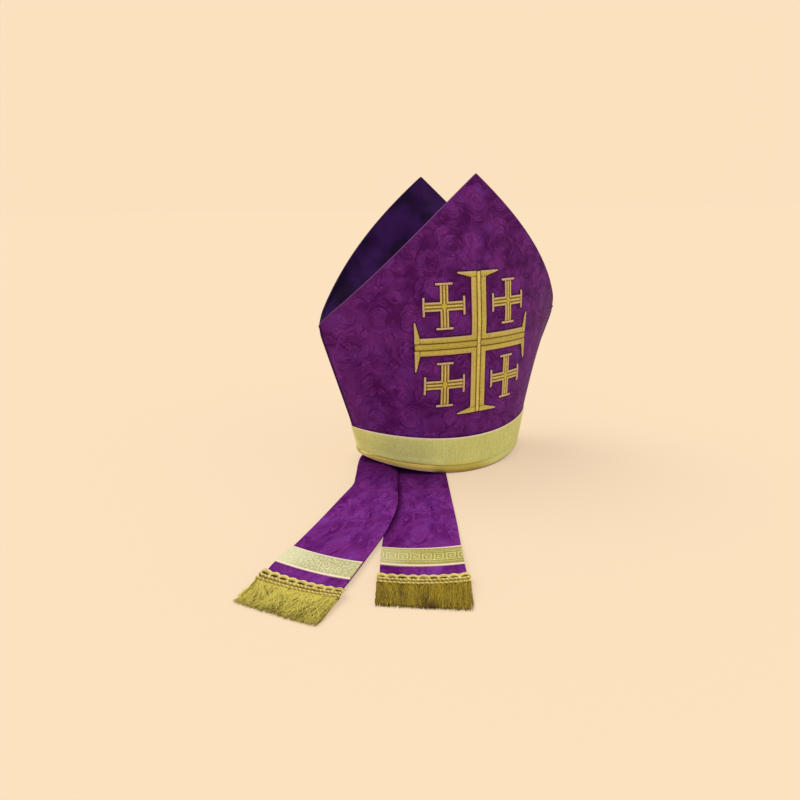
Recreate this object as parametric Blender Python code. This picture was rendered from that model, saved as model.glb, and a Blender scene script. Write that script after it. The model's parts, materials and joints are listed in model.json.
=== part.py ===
"""Bishop mitre standing on its rim, with its two lappets drawn out in front on the same surface.

Metres, +Z up, +X to the viewer's right, the front faces -Y. The world origin is the middle of the
front rim's underside. All pieces hang on one empty, whose own origin is half way between the panels
on the surface that the mitre stands on.
"""

import math

import bmesh
import bpy
from mathutils import Vector

# --- Driving dimensions -------------------------------------------------------------------------

RIM_HALF_WIDTH = 0.1074      # side seam at the rim, from the centre line
CORNER_HALF_WIDTH = 0.1667   # side seam at its top, the mitre's widest place
CORNER_HEIGHT = 0.1777       # top of the side seams
PEAK_HEIGHT = 0.3327         # points of both panels
HEM_RISE = 0.0155            # how far the hem rises from the middle of a panel to its side seams
HEM_FLAT = 0.0654            # share of the half width over which the hem's middle lies flat
RIM_DEPTH = 0.0760           # bulge of a panel away from its seams, at the rim
CORNER_DEPTH = 0.0651        # the same at the corners
PEAK_DEPTH = 0.0561          # the same at the peak
SEAM_SETBACK = 0.0142        # the seams lean: this far back at the rim, none at the corners
RIM_ROUNDNESS = 0.504        # exponent of a panel's plan at the rim, where 0.5 is an ellipse
CORNER_ROUNDNESS = 1.0       # the same at the corners, where 1 is a parabola
EDGE_TAPER = 0.859           # straight share of the upper edge's run from corner to peak
EDGE_POWER = 2.472           # curve of the rest of it
CORNER_BLUNTING = 0.0022     # how far the rounding of a corner cuts it back
CORNER_BLUNT_REACH = 0.008   # and how far along the edge it reaches
RIGHT_CORNER_SAG = 0.004     # the corner at the viewer's right sits this much lower
PEAK_CURVE = 0.80            # curvature of a panel across its peak, per metre

PANEL_WALL = 0.003
SEWING_GAP = 0.0003
LINING_WALL = 0.0012
LINING_BELOW_EDGE = 0.002

BAND_BOTTOM = 0.0088
BAND_TOP = 0.0389
BAND_WALL = 0.0009
BINDING_TOP = 0.0083
BINDING_BOTTOM = 0.0004
BINDING_BULGE = 0.0016

CROSS_HEIGHT = 0.151         # centre of the large cross above the surface
CROSS_HALF = 0.080
CROSS_BAR = 0.0200
SERIF_HALF = 0.0275
SERIF_ROOT = 0.0065
SERIF_TIP = 0.0015
CROSSLET_OFFSET = 0.0438
CROSSLET_HALF = 0.0255
CROSSLET_BAR = 0.0100
CROSSLET_END_HALF = 0.0102
CROSSLET_END_WALL = 0.0026
CROSS_CREEP = 0.048          # the lower left of the work has crept in by this share, from the height
CROSS_CREEP_TOP = 0.194      # where it begins down to where it is full
CROSS_CREEP_FULL = 0.124
STITCH_HEIGHT = 0.0012
STITCH_GAP = 0.0005
STITCH_STEP = 0.012          # longest facet of the embroidery across the panel
STITCH_STEP_UP = 0.024       # and up it

LAPPET_WALL = 0.0015
GALLOON_WALL = 0.0008
BRAID_WALL = 0.0024
BRAID_OVERHANG_LEFT = (0.085, 0.0)    # shares of the width by which a braid passes its lappet's
BRAID_OVERHANG_RIGHT = (0.04, 0.05)   # left and right edges
FRINGE_WALL = 0.0036
FRINGE_LOCKS = 15
FRINGE_LEFT_LENGTH = 0.0285  # the locks lengthen from the viewer's left to the right
FRINGE_RIGHT_LENGTH = 0.0345

# --- Fineness of the facets ---------------------------------------------------------------------

PANEL_COLUMNS = 25
BAND_ROWS = (BAND_BOTTOM, (BAND_BOTTOM + BAND_TOP) / 2, BAND_TOP)
HEM_ROWS = (0.0, *BAND_ROWS, 0.066, 0.095, 0.125, 0.146, 0.156)
EDGE_ROWS = (0.0, 0.030, 0.075, 0.17, 0.30, 0.44, 0.58, 0.72, 0.85, 0.94, 1.0)
LINING_COLUMNS = 22
LINING_ROWS = 6
LAPPET_COLUMNS = 6
LAPPET_STEPS = 2

# --- Colours ------------------------------------------------------------------------------------

DAMASK = (0.100, 0.010, 0.135, 1.0)
SATIN = (0.022, 0.009, 0.060, 1.0)
PALE_GOLD = (0.500, 0.440, 0.150, 1.0)
DEEP_GOLD = (0.480, 0.330, 0.070, 1.0)
THREAD_GOLD = (0.560, 0.380, 0.080, 1.0)
FRINGE_GOLD = (0.330, 0.270, 0.040, 1.0)

# --- Lappets: a row for each place along them, from the seam inside the back rim to the end -------
# left and right are the edges of the strip's middle surface, in metres from the mitre's own centre
# on the surface; crown is how far the strip arches (+) or is cupped (-) between its edges.

LAPPET_COLUMN_NAMES = ("place", "left", "right", "crown")

LAPPET_LEFT = (
    ("seam", (-0.0530, 0.0750, 0.0200), (-0.0070, 0.0850, 0.0200), 0.000),
    ("hem", (-0.0535, 0.0735, 0.0060), (-0.0080, 0.0835, 0.0060), 0.000),
    ("landing", (-0.0600, 0.0670, 0.0010), (-0.0140, 0.0740, 0.0030), 0.000),
    ("turn_in", (-0.0770, 0.0620, 0.0010), (-0.0340, 0.0540, 0.0031), 0.001),
    ("below_rim", (-0.0930, 0.0480, 0.0010), (-0.0560, 0.0220, 0.0031), 0.003),
    ("under_edge", (-0.1080, 0.0270, 0.0010), (-0.0720, -0.0040, 0.0033), 0.006),
    ("clear", (-0.1325, -0.0138, 0.0012), (-0.0950, -0.0430, 0.0048), 0.010),
    ("kink", (-0.1480, -0.0385, 0.0030), (-0.1130, -0.0725, 0.0058), 0.010),
    ("turn", (-0.1770, -0.0690, 0.0055), (-0.1380, -0.1160, 0.0046), 0.005),
    ("run", (-0.2240, -0.1135, 0.0060), (-0.1770, -0.1630, 0.0042), 0.000),
    ("galloon_top", (-0.2680, -0.1534, 0.0065), (-0.2266, -0.2090, 0.0034), -0.002),
    ("galloon_end", (-0.2925, -0.1725, 0.0065), (-0.2502, -0.2305, 0.0034), -0.002),
    ("braid_top", (-0.3020, -0.1814, 0.0062), (-0.2610, -0.2397, 0.0034), -0.002),
    ("end", (-0.3155, -0.1938, 0.0056), (-0.2722, -0.2500, 0.0032), -0.002),
)

LAPPET_RIGHT = (
    ("seam", (0.0075, 0.0850, 0.0200), (0.0535, 0.0750, 0.0200), 0.000),
    ("hem", (0.0065, 0.0835, 0.0060), (0.0525, 0.0735, 0.0060), 0.000),
    ("landing", (0.0000, 0.0740, 0.0009), (0.0460, 0.0660, 0.0009), 0.000),
    ("turn_in", (-0.0180, 0.0590, 0.0009), (0.0300, 0.0500, 0.0009), 0.000),
    ("below", (-0.0400, 0.0370, 0.0009), (0.0080, 0.0200, 0.0009), 0.000),
    ("middle", (-0.0629, 0.0080, 0.0009), (-0.0142, -0.0149, 0.0009), 0.000),
    ("rim", (-0.0897, -0.0290, 0.0009), (-0.0379, -0.0566, 0.0009), 0.000),
    ("clear", (-0.1298, -0.0873, 0.0009), (-0.0735, -0.1192, 0.0009), 0.000),
    ("run", (-0.1687, -0.1457, 0.0009), (-0.1080, -0.1801, 0.0013), 0.000),
    ("galloon_top", (-0.1987, -0.1921, 0.0034), (-0.1359, -0.2272, 0.0034), -0.0022),
    ("galloon_end", (-0.2161, -0.2205, 0.0034), (-0.1535, -0.2578, 0.0034), -0.0022),
    ("braid_top", (-0.2231, -0.2327, 0.0034), (-0.1605, -0.2702, 0.0034), -0.0022),
    ("end", (-0.2318, -0.2475, 0.0032), (-0.1695, -0.2855, 0.0032), -0.0022),
)

# extra length and lean of a lock, in turn along the fringe
LOCK_EXTRAS = (0.0000, 0.0010, -0.0008, 0.0004, 0.0014, -0.0004, -0.0010, 0.0002, 0.0012, -0.0002)
LOCK_LEANS = (-0.0016, 0.0006, 0.0010, -0.0008, 0.0004, 0.0012, -0.0010)


# --- The panels' surface ------------------------------------------------------------------------

RISE_TO_CORNER = CORNER_HEIGHT - HEM_RISE
RISE_TO_PEAK = PEAK_HEIGHT - HEM_RISE


def mix(a, b, share):
    return a + (b - a) * share


def clamp(value):
    return min(max(value, 0.0), 1.0)


def depth(rise):
    """Bulge of a panel at its centre line: the parabola through the rim's, corner's and peak's."""
    corner, peak = RISE_TO_CORNER, RISE_TO_PEAK
    at_rim = RIM_DEPTH * (rise - corner) * (rise - peak) / (corner * peak)
    at_corner = CORNER_DEPTH * rise * (rise - peak) / (corner * (corner - peak))
    at_peak = PEAK_DEPTH * rise * (rise - corner) / (peak * (peak - corner))
    return at_rim + at_corner + at_peak


def blunting(rise):
    return CORNER_BLUNTING * math.exp(-(((rise - RISE_TO_CORNER) / CORNER_BLUNT_REACH) ** 2))


def half_width(rise):
    """Half width of the mitre's outline, up the seam and then in along the upper edge."""
    if rise <= RISE_TO_CORNER:
        seam = mix(RIM_HALF_WIDTH, CORNER_HALF_WIDTH, clamp(rise / RISE_TO_CORNER))
        return seam - blunting(rise)
    share = clamp((rise - RISE_TO_CORNER) / (RISE_TO_PEAK - RISE_TO_CORNER))
    taper = EDGE_TAPER * share + (1 - EDGE_TAPER) * share**EDGE_POWER
    return max(CORNER_HALF_WIDTH * (1 - taper) - blunting(rise), 0.0)


def seam_y(rise):
    return SEAM_SETBACK * (1 - clamp(rise / RISE_TO_CORNER))


def hem_row(across, row):
    """Rise of a row of the lower panel: the hem dips at its middle, and the dip fades upwards."""
    lifted = clamp((across**2 - HEM_FLAT**2) / (1 - HEM_FLAT**2))
    return row - HEM_RISE * (1 - lifted) * (1 - row / RISE_TO_CORNER)


def sag(x):
    return RIGHT_CORNER_SAG * clamp(x / CORNER_HALF_WIDTH) ** 4


def below_corner(side, angle, row, offset=0.0):
    """A point of the lower panel. angle runs from -90 to 90 degrees between the seams."""
    across = math.sin(angle)
    rise = hem_row(across, row)
    up = clamp(rise / RISE_TO_CORNER)
    corner_inset = math.sqrt(max(1 + offset / CORNER_DEPTH, 0.0))
    half = mix(half_width(rise) + offset, half_width(rise) * corner_inset, up)
    power = mix(RIM_ROUNDNESS, CORNER_ROUNDNESS, up)
    bulge = (depth(rise) + offset) * max(math.cos(angle), 0.0) ** (2 * power)
    x = half * across
    y = seam_y(rise) + side * (bulge + SEWING_GAP / 2)
    return Vector((x, y, HEM_RISE + rise - sag(x)))


def above_corner(side, angle, share, offset=0.0):
    """A point of the upper panel. share runs from 0 at the corners to 1 at the peak."""
    rise = mix(RISE_TO_CORNER, RISE_TO_PEAK, share)
    curve = mix(CORNER_DEPTH / CORNER_HALF_WIDTH**2, PEAK_CURVE, share)
    bulge = depth(rise) + offset
    half = min(half_width(rise), math.sqrt(bulge / curve))
    x = half * math.sin(angle)
    y = side * (max(bulge - curve * x**2, 0.0) + SEWING_GAP / 2)
    return Vector((x, y, HEM_RISE + rise - sag(x)))


def front_surface(x, height):
    """A point of the front panel's face at x and at a height above the surface."""
    rise = height - HEM_RISE + sag(x)
    if rise > RISE_TO_CORNER:
        share = (rise - RISE_TO_CORNER) / (RISE_TO_PEAK - RISE_TO_CORNER)
        curve = mix(CORNER_DEPTH / CORNER_HALF_WIDTH**2, PEAK_CURVE, share)
        bulge = depth(rise) - curve * x**2
    else:
        power = mix(RIM_ROUNDNESS, CORNER_ROUNDNESS, clamp(rise / RISE_TO_CORNER))
        bulge = depth(rise) * max(1 - (x / half_width(rise)) ** 2, 0.0) ** power
    return Vector((x, seam_y(rise) - bulge, height))


def panel_angles():
    return [math.radians(mix(-90, 90, i / PANEL_COLUMNS)) for i in range(PANEL_COLUMNS + 1)]


# --- Building meshes ----------------------------------------------------------------------------


def finish(name, mesh_data, colour, parent, roughness=0.7, metallic=0.0, smooth=True):
    """Put a bmesh into the scene as one named object with its own Principled material."""
    bmesh.ops.remove_doubles(mesh_data, verts=mesh_data.verts, dist=1e-6)
    bmesh.ops.triangulate(mesh_data, faces=mesh_data.faces, quad_method="SHORT_EDGE")
    bmesh.ops.recalc_face_normals(mesh_data, faces=mesh_data.faces)
    mesh = bpy.data.meshes.new(name)
    mesh_data.to_mesh(mesh)
    mesh_data.free()
    if smooth:
        mesh.shade_smooth()
        mesh.set_sharp_from_angle(angle=math.radians(40))
    material = bpy.data.materials.new(name)
    material.use_nodes = True
    shader = material.node_tree.nodes["Principled BSDF"]
    shader.inputs["Base Color"].default_value = colour
    shader.inputs["Roughness"].default_value = roughness
    shader.inputs["Metallic"].default_value = metallic
    mesh.materials.append(material)
    piece = bpy.data.objects.new(name, mesh)
    bpy.context.scene.collection.objects.link(piece)
    piece.parent = parent
    return piece


def solid_between(face, back):
    """A closed body between two grids of points of the same size, given as rows."""
    bm = bmesh.new()
    grids = [[[bm.verts.new(point) for point in row] for row in grid] for grid in (face, back)]
    rows, columns = len(face), len(face[0])

    def quad(*corners):
        bm.faces.new(corners)

    for j in range(rows - 1):
        for i in range(columns - 1):
            for grid, step in ((grids[0], 1), (grids[1], -1)):
                loop = (grid[j][i], grid[j][i + 1], grid[j + 1][i + 1], grid[j + 1][i])
                quad(*loop[::step])
    front, rear = grids
    for j in range(rows - 1):
        for i in (0, columns - 1):
            quad(front[j][i], front[j + 1][i], rear[j + 1][i], rear[j][i])
    for i in range(columns - 1):
        for j in (0, rows - 1):
            quad(front[j][i], front[j][i + 1], rear[j][i + 1], rear[j][i])
    return bm


def ring_of(loops):
    """A closed body from profile loops of the same size, joined one to the next all the way round."""
    bm = bmesh.new()
    rings = [[bm.verts.new(point) for point in loop] for loop in loops]
    count = len(rings[0])
    for here, there in zip(rings, rings[1:] + rings[:1]):
        for i in range(count):
            k = (i + 1) % count
            bm.faces.new((here[i], here[k], there[k], there[i]))
    return bm


# --- Panels and lining --------------------------------------------------------------------------


def panel_grid(side, offset):
    rows = [[below_corner(side, angle, row, offset) for angle in panel_angles()] for row in HEM_ROWS]
    rows += [[above_corner(side, angle, share, offset) for angle in panel_angles()] for share in EDGE_ROWS]
    return rows


def make_panel(name, side, parent):
    outer = panel_grid(side, 0.0)
    inner = panel_grid(side, -PANEL_WALL)
    for outer_row, inner_row in zip(outer, inner):
        for outside, inside in zip(outer_row, inner_row):
            inside.z = outside.z
    return finish(name, solid_between(outer, inner), DAMASK, parent, roughness=0.55)


def edge_share(x):
    """Where along the upper edge, from corner to peak, its half width is x."""
    low, high = 0.0, 1.0
    for _ in range(40):
        middle = (low + high) / 2
        if half_width(mix(RISE_TO_CORNER, RISE_TO_PEAK, middle)) > x:
            low = middle
        else:
            high = middle
    return (low + high) / 2


def lining_point(side, x, down, lift):
    """A point of the lining. down runs from 0 at the panel's edge to 1 at the fold between the peaks."""
    share = edge_share(abs(x))
    top = mix(RISE_TO_CORNER, RISE_TO_PEAK, share) - LINING_BELOW_EDGE
    fold = min(RISE_TO_CORNER + 0.004, top - 0.001)
    rise = mix(top, fold, down)
    curve = mix(CORNER_DEPTH / CORNER_HALF_WIDTH**2, PEAK_CURVE, share)
    wall = depth(top) - curve * x**2 - 1.15 * PANEL_WALL - SEWING_GAP - lift
    y = max(wall, 0.0) * (1 - down**1.7) + SEWING_GAP / 2
    return Vector((x, side * y, HEM_RISE + rise - sag(x)))


def make_lining(name, side, parent):
    reach = CORNER_HALF_WIDTH - 0.012
    columns = [mix(-reach, reach, i / LINING_COLUMNS) for i in range(LINING_COLUMNS + 1)]
    downs = [j / LINING_ROWS for j in range(LINING_ROWS + 1)]
    near = [[lining_point(side, x, down, 0.0) for x in columns] for down in downs]
    far = [[lining_point(side, x, down, LINING_WALL) for x in columns] for down in downs]
    for row in far:
        for point in row:
            point.z += LINING_WALL * 0.8
    return finish(name, solid_between(near, far), SATIN, parent, roughness=0.35)


# --- Rim ----------------------------------------------------------------------------------------


def rim_loops(profile):
    """The profile, as (row, offset) pairs, at each column round the rim: front, then back."""
    angles = panel_angles()
    places = [(-1, angle) for angle in angles[:-1]] + [(1, angle) for angle in reversed(angles[1:])]
    loops = []
    for side, angle in places:
        loop = [below_corner(side, angle, row, offset) for row, offset in profile]
        for point in loop:
            if abs(math.cos(angle)) < 1e-6:
                point.y -= side * SEWING_GAP / 2
        loops.append(loop)
    return loops


def make_band(parent):
    inside, outside = SEWING_GAP, SEWING_GAP + BAND_WALL
    profile = [(row, outside) for row in BAND_ROWS] + [(row, inside) for row in reversed(BAND_ROWS)]
    return finish("rim_band", ring_of(rim_loops(profile)), PALE_GOLD, parent, 0.45, 0.3)


def make_binding(parent):
    inside = SEWING_GAP
    middle = (BINDING_BOTTOM + BINDING_TOP) / 2
    half = (BINDING_TOP - BINDING_BOTTOM) / 2
    profile = [(middle - half, inside)]
    for degrees in (-60, -20, 20, 60):
        turn = math.radians(degrees)
        profile.append((middle + half * math.sin(turn), inside + BINDING_BULGE * math.cos(turn)))
    profile.append((middle + half, inside))
    return finish("rim_binding", ring_of(rim_loops(profile)), DEEP_GOLD, parent, 0.4, 0.3)


# --- Embroidery ---------------------------------------------------------------------------------


def four_arms(arm):
    """A cross's outline from one arm's right half, as (across, along) pairs out to the arm's end."""
    outline = []
    for quarter in range(4):
        turn = math.radians(-90 * quarter)
        half = [(-across, along) for across, along in arm] + [(across, along) for across, along in reversed(arm)]
        for across, along in half:
            x = across * math.cos(turn) - along * math.sin(turn)
            z = across * math.sin(turn) + along * math.cos(turn)
            outline.append((x, z))
    return outline


def potent_arm():
    """Arm of the large cross: its two serifs taper out to points along its end."""
    half = CROSS_BAR / 2
    return [
        (half, half),
        (half, CROSS_HALF - SERIF_ROOT),
        (SERIF_HALF, CROSS_HALF - SERIF_TIP),
        (SERIF_HALF, CROSS_HALF),
    ]


def crosslet_arm():
    half = CROSSLET_BAR / 2
    end = CROSSLET_HALF - CROSSLET_END_WALL
    return [(half, half), (half, end), (CROSSLET_END_HALF, end), (CROSSLET_END_HALF, CROSSLET_HALF)]


def along_face(distance):
    """x of a place that lies this far along the curved face from its centre line."""
    bend = 2 * CORNER_DEPTH / 0.157**2
    return distance * (1 - (bend * distance) ** 2 / 6)


def on_face(across, height, lift):
    """A point lifted off the front panel, for a place across and up its face."""
    if across < 0:
        across *= 1 - CROSS_CREEP * clamp((CROSS_CREEP_TOP - height) / (CROSS_CREEP_TOP - CROSS_CREEP_FULL))
    x = along_face(across)
    here = front_surface(x, height)
    step = 0.001
    to_right = front_surface(x + step, height) - here
    up = front_surface(x, height + step) - here
    outward = to_right.cross(up).normalized()
    return here + outward * lift


def inner_shares(parts):
    """Places between 0 and 1 that cut it into at least this many equal parts."""
    count = math.ceil(parts)
    return [i / count for i in range(1, count)]


def make_stitched(name, outline, centre, parent):
    """An embroidered shape: its outline as a plate, cut into short facets and laid on the panel."""
    bm = bmesh.new()
    corners = [bm.verts.new((x + centre[0], 0.0, z + centre[1])) for x, z in outline]
    face = bm.faces.new(corners)
    low = Vector((min(x for x, _ in outline) + centre[0], 0, min(z for _, z in outline) + centre[1]))
    high = Vector((max(x for x, _ in outline) + centre[0], 0, max(z for _, z in outline) + centre[1]))
    lifted = bmesh.ops.extrude_face_region(bm, geom=[face])["geom"]
    top = {item for item in lifted if isinstance(item, bmesh.types.BMVert)}
    for vertex in top:
        vertex.co.y = 1.0
    cuts = [(low.lerp(high, share), (1, 0, 0)) for share in inner_shares((high - low).x / STITCH_STEP)]
    cuts += [(low.lerp(high, share), (0, 0, 1)) for share in inner_shares((high - low).z / STITCH_STEP_UP)]
    cuts.append((Vector((0, 0, CORNER_HEIGHT)), (0, 0, 1)))
    for place, normal in cuts:
        bmesh.ops.bisect_plane(bm, geom=bm.verts[:] + bm.edges[:] + bm.faces[:], plane_co=place, plane_no=normal)
    bmesh.ops.triangulate(bm, faces=bm.faces)
    for vertex in bm.verts:
        lift = STITCH_GAP + (STITCH_HEIGHT if vertex.co.y > 0.5 else 0.0)
        vertex.co = on_face(vertex.co.x, vertex.co.z, lift)
    return finish(name, bm, THREAD_GOLD, parent, 0.4, 0.2, smooth=False)


# --- Lappets ------------------------------------------------------------------------------------


def through(points, place):
    """A smooth curve through the points, read at a place counted in points."""
    last = len(points) - 1
    start = min(int(place), last - 1)
    share = place - start
    before, here = points[max(start - 1, 0)], points[start]
    there, after = points[start + 1], points[min(start + 2, last)]
    out = (there - before) / 2
    arrive = (after - here) / 2
    squared, cubed = share**2, share**3
    return (
        here * (2 * cubed - 3 * squared + 1)
        + out * (cubed - 2 * squared + share)
        + there * (3 * squared - 2 * cubed)
        + arrive * (cubed - squared)
    )


def lappet_surface(table, place, across, lift=0.0):
    """A point of a lappet, at a place along its table and from 0 to 1 across it, lifted off it."""
    lefts = [Vector(row[1]) for row in table]
    rights = [Vector(row[2]) for row in table]
    crowns = [row[3] for row in table]

    def bare(at, over):
        left, right = through(lefts, at), through(rights, at)
        crown = through(crowns, at)
        return left.lerp(right, over) + Vector((0, 0, 4 * crown * over * (1 - over)))

    step = 0.02
    here = bare(place, across)
    early, late = max(place - step, 0), min(place + step, len(table) - 1)
    along = bare(late, across) - bare(early, across)
    over = bare(place, across + step) - bare(place, across - step)
    return here + over.cross(along).normalized() * -lift


def place_of(table, name):
    return [row[0] for row in table].index(name)


def strip_grids(table, places, acrosses, low, high):
    """The underside and the top of a layer on a lappet, low and high above its middle surface."""
    return [
        [[lappet_surface(table, place, across, lift) for across in acrosses] for place in places]
        for lift in (low, high)
    ]


def shares(first, last, steps):
    return [mix(first, last, i / steps) for i in range(steps + 1)]


def make_lappet(name, table, parent):
    last = len(table) - 1
    places = shares(0, last, last * LAPPET_STEPS)
    grids = strip_grids(table, places, shares(0, 1, LAPPET_COLUMNS), -LAPPET_WALL / 2, LAPPET_WALL / 2)
    return finish(name, solid_between(*grids), DAMASK, parent, 0.55)


def make_layer(name, table, first, last, wall, overhangs, colour, parent):
    """A ribbon laid across a lappet between two of its named places."""
    low = LAPPET_WALL / 2 + SEWING_GAP
    places = shares(place_of(table, first), place_of(table, last), 2 * LAPPET_STEPS)
    acrosses = shares(-overhangs[0], 1 + overhangs[1], LAPPET_COLUMNS)
    grids = strip_grids(table, places, acrosses, low, low + wall)
    return finish(name, solid_between(*grids), colour, parent, 0.45, 0.3)


def make_fringe(name, table, overhangs, parent):
    """A comb of tapering locks that leave one head at the lappet's end and lie on the surface."""
    end = place_of(table, "end")
    root_left = lappet_surface(table, end, -0.9 * overhangs[0])
    root_right = lappet_surface(table, end, 1 + 0.9 * overhangs[1])
    onward = lappet_surface(table, end, 0.5) - lappet_surface(table, end - 0.2, 0.5)
    onward.z = 0
    onward.normalize()
    sideways = (root_right - root_left).normalized()
    bm = bmesh.new()
    rows = (0.0, 0.3, 0.65, 1.0)
    joined_rows = 2

    def section(lock, row):
        """Left, crest and right on top, then right and left below, of a lock at a row."""
        share = rows[row]
        length = mix(FRINGE_LEFT_LENGTH, FRINGE_RIGHT_LENGTH, lock / (FRINGE_LOCKS - 1))
        length += LOCK_EXTRAS[lock % len(LOCK_EXTRAS)]
        lean = LOCK_LEANS[lock % len(LOCK_LEANS)] * share**2
        if row < joined_rows:
            length, lean = FRINGE_LEFT_LENGTH, 0.0
        run = SEWING_GAP + share * length
        taper = 0.0 if row < joined_rows else 0.10 + 0.14 * (share - rows[joined_rows - 1])
        crown = -4 * 0.0018 * (1 - share)
        points = []
        drop = 1 - 0.75 * share**1.3
        for over, high in ((0 + taper, 0.55), (0.5, 1.0), (1 - taper, 0.55), (1 - taper, 0.0), (taper, 0.0)):
            across = (lock + over) / FRINGE_LOCKS
            base = root_left.lerp(root_right, across) + sideways * lean
            base.z = max((base.z + crown * across * (1 - across) - LAPPET_WALL / 2) * (1 - share) ** 1.5, 0.0)
            wall = FRINGE_WALL * drop * high
            points.append(base + onward * run + Vector((0, 0, 0.0001 + wall)))
        return points

    def vertex(lock, row, corner):
        point = section(lock, row)[corner]
        return bm.verts.new(point)

    sections = [[[vertex(k, r, c) for c in range(5)] for r in range(len(rows))] for k in range(FRINGE_LOCKS)]
    for lock, columns in enumerate(sections):
        for r in range(len(rows) - 1):
            here, there = columns[r], columns[r + 1]
            for a, b in ((0, 1), (1, 2), (3, 4)):
                bm.faces.new((here[a], here[b], there[b], there[a]))
            free_left = lock == 0 or r >= joined_rows - 1
            free_right = lock == FRINGE_LOCKS - 1 or r >= joined_rows - 1
            if free_left:
                bm.faces.new((here[4], here[0], there[0], there[4]))
            if free_right:
                bm.faces.new((here[2], here[3], there[3], there[2]))
        bm.faces.new(columns[0])
        bm.faces.new(columns[-1])
    return finish(name, bm, FRINGE_GOLD, parent, 0.6, smooth=False)


# --- The mitre ----------------------------------------------------------------------------------


def make_mitre():
    for item in list(bpy.data.objects):
        bpy.data.objects.remove(item)
    mitre = bpy.data.objects.new("mitre", None)
    mitre.location = (0, -below_corner(-1, 0.0, 0.0, -PANEL_WALL / 2).y, 0)
    bpy.context.scene.collection.objects.link(mitre)

    make_panel("front_panel", -1, mitre)
    make_panel("back_panel", 1, mitre)
    make_lining("cleft_lining_front", -1, mitre)
    make_lining("cleft_lining_back", 1, mitre)
    make_band(mitre)
    make_binding(mitre)

    make_stitched("cross_main", four_arms(potent_arm()), (0, CROSS_HEIGHT), mitre)
    for row, up in (("upper", 1), ("lower", -1)):
        for column, right in (("left", -1), ("right", 1)):
            centre = (right * CROSSLET_OFFSET, CROSS_HEIGHT + up * CROSSLET_OFFSET)
            make_stitched(f"crosslet_{row}_{column}", four_arms(crosslet_arm()), centre, mitre)

    sides = (("left", LAPPET_LEFT, BRAID_OVERHANG_LEFT), ("right", LAPPET_RIGHT, BRAID_OVERHANG_RIGHT))
    for side, table, overhangs in sides:
        make_lappet(f"lappet_{side}", table, mitre)
        make_layer(f"galloon_{side}", table, "galloon_top", "galloon_end", GALLOON_WALL, (0, 0), PALE_GOLD, mitre)
        make_layer(f"braid_{side}", table, "braid_top", "end", BRAID_WALL, overhangs, THREAD_GOLD, mitre)
        make_fringe(f"fringe_{side}", table, overhangs, mitre)


make_mitre()
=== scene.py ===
"""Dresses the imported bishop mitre: damask shields, satin lining, galloons, satin-stitched crosses,
gimp braids and thread fringes, on a plain beige stage seen from the photograph's side.
"""

import json
import math

import bmesh
import bpy
import numpy as np
from mathutils import Matrix

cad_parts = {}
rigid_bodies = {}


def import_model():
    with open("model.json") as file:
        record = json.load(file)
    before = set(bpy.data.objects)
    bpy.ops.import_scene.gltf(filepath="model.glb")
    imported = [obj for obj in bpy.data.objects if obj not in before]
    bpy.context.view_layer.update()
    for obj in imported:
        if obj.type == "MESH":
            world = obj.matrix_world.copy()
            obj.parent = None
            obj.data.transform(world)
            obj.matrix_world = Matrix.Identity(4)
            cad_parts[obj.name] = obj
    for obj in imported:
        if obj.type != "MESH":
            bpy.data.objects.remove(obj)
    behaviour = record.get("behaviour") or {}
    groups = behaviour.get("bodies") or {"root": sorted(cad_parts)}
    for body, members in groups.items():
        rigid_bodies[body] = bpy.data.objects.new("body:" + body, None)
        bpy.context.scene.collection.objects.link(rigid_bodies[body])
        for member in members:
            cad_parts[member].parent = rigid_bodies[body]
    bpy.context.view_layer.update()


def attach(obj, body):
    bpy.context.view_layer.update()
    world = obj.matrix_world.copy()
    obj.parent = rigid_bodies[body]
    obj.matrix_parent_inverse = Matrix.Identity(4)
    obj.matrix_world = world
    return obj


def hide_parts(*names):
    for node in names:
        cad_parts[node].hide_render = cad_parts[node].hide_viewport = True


bl_info = {
    "name": "Bishop Mitre",
    "version": (1, 0, 0),
    "blender": (4, 5, 0),
    "location": "3D View > Sidebar > Mitre",
    "description": "Damask mitre with satin-stitched crosses, galloons and fringed lappets",
    "category": "Object",
}

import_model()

# --- The mitre's own measures, in metres, as part.py has them ------------------------------------

RIM_HALF_WIDTH = 0.1074
CORNER_HALF_WIDTH = 0.1667
CORNER_HEIGHT = 0.1777
PEAK_HEIGHT = 0.3327
HEM_RISE = 0.0155
HEM_FLAT = 0.0654
RIM_DEPTH = 0.0760
CORNER_DEPTH = 0.0651
PEAK_DEPTH = 0.0561
SEAM_SETBACK = 0.0142
RIM_ROUNDNESS = 0.504
CORNER_ROUNDNESS = 1.0
EDGE_TAPER = 0.859
EDGE_POWER = 2.472
CORNER_BLUNTING = 0.0022
CORNER_BLUNT_REACH = 0.008
RIGHT_CORNER_SAG = 0.004
PEAK_CURVE = 0.80
PANEL_WALL = 0.003
SEWING_GAP = 0.0003

BAND_BOTTOM = 0.0088
BAND_TOP = 0.0389
ROLL_TOP = 0.0083
ROLL_BOTTOM = 0.0004

CROSS_HEIGHT = 0.151
CROSS_HALF = 0.080
CROSS_BAR = 0.0200
SERIF_HALF = 0.0275
SERIF_ROOT = 0.0065
SERIF_TIP = 0.0015
CROSSLET_OFFSET = 0.0438
CROSSLET_HALF = 0.0255
CROSSLET_BAR = 0.0100
CROSSLET_END_HALF = 0.0102
CROSSLET_END_WALL = 0.0026
CROSS_CREEP = 0.048
CROSS_CREEP_TOP = 0.194
CROSS_CREEP_FULL = 0.124

LAPPET_WALL = 0.0015
BRAID_OVERHANG = {"left": (0.035, 0.05), "right": (0.035, 0.03)}
FRINGE_LENGTH = (0.0285, 0.0345)

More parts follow.
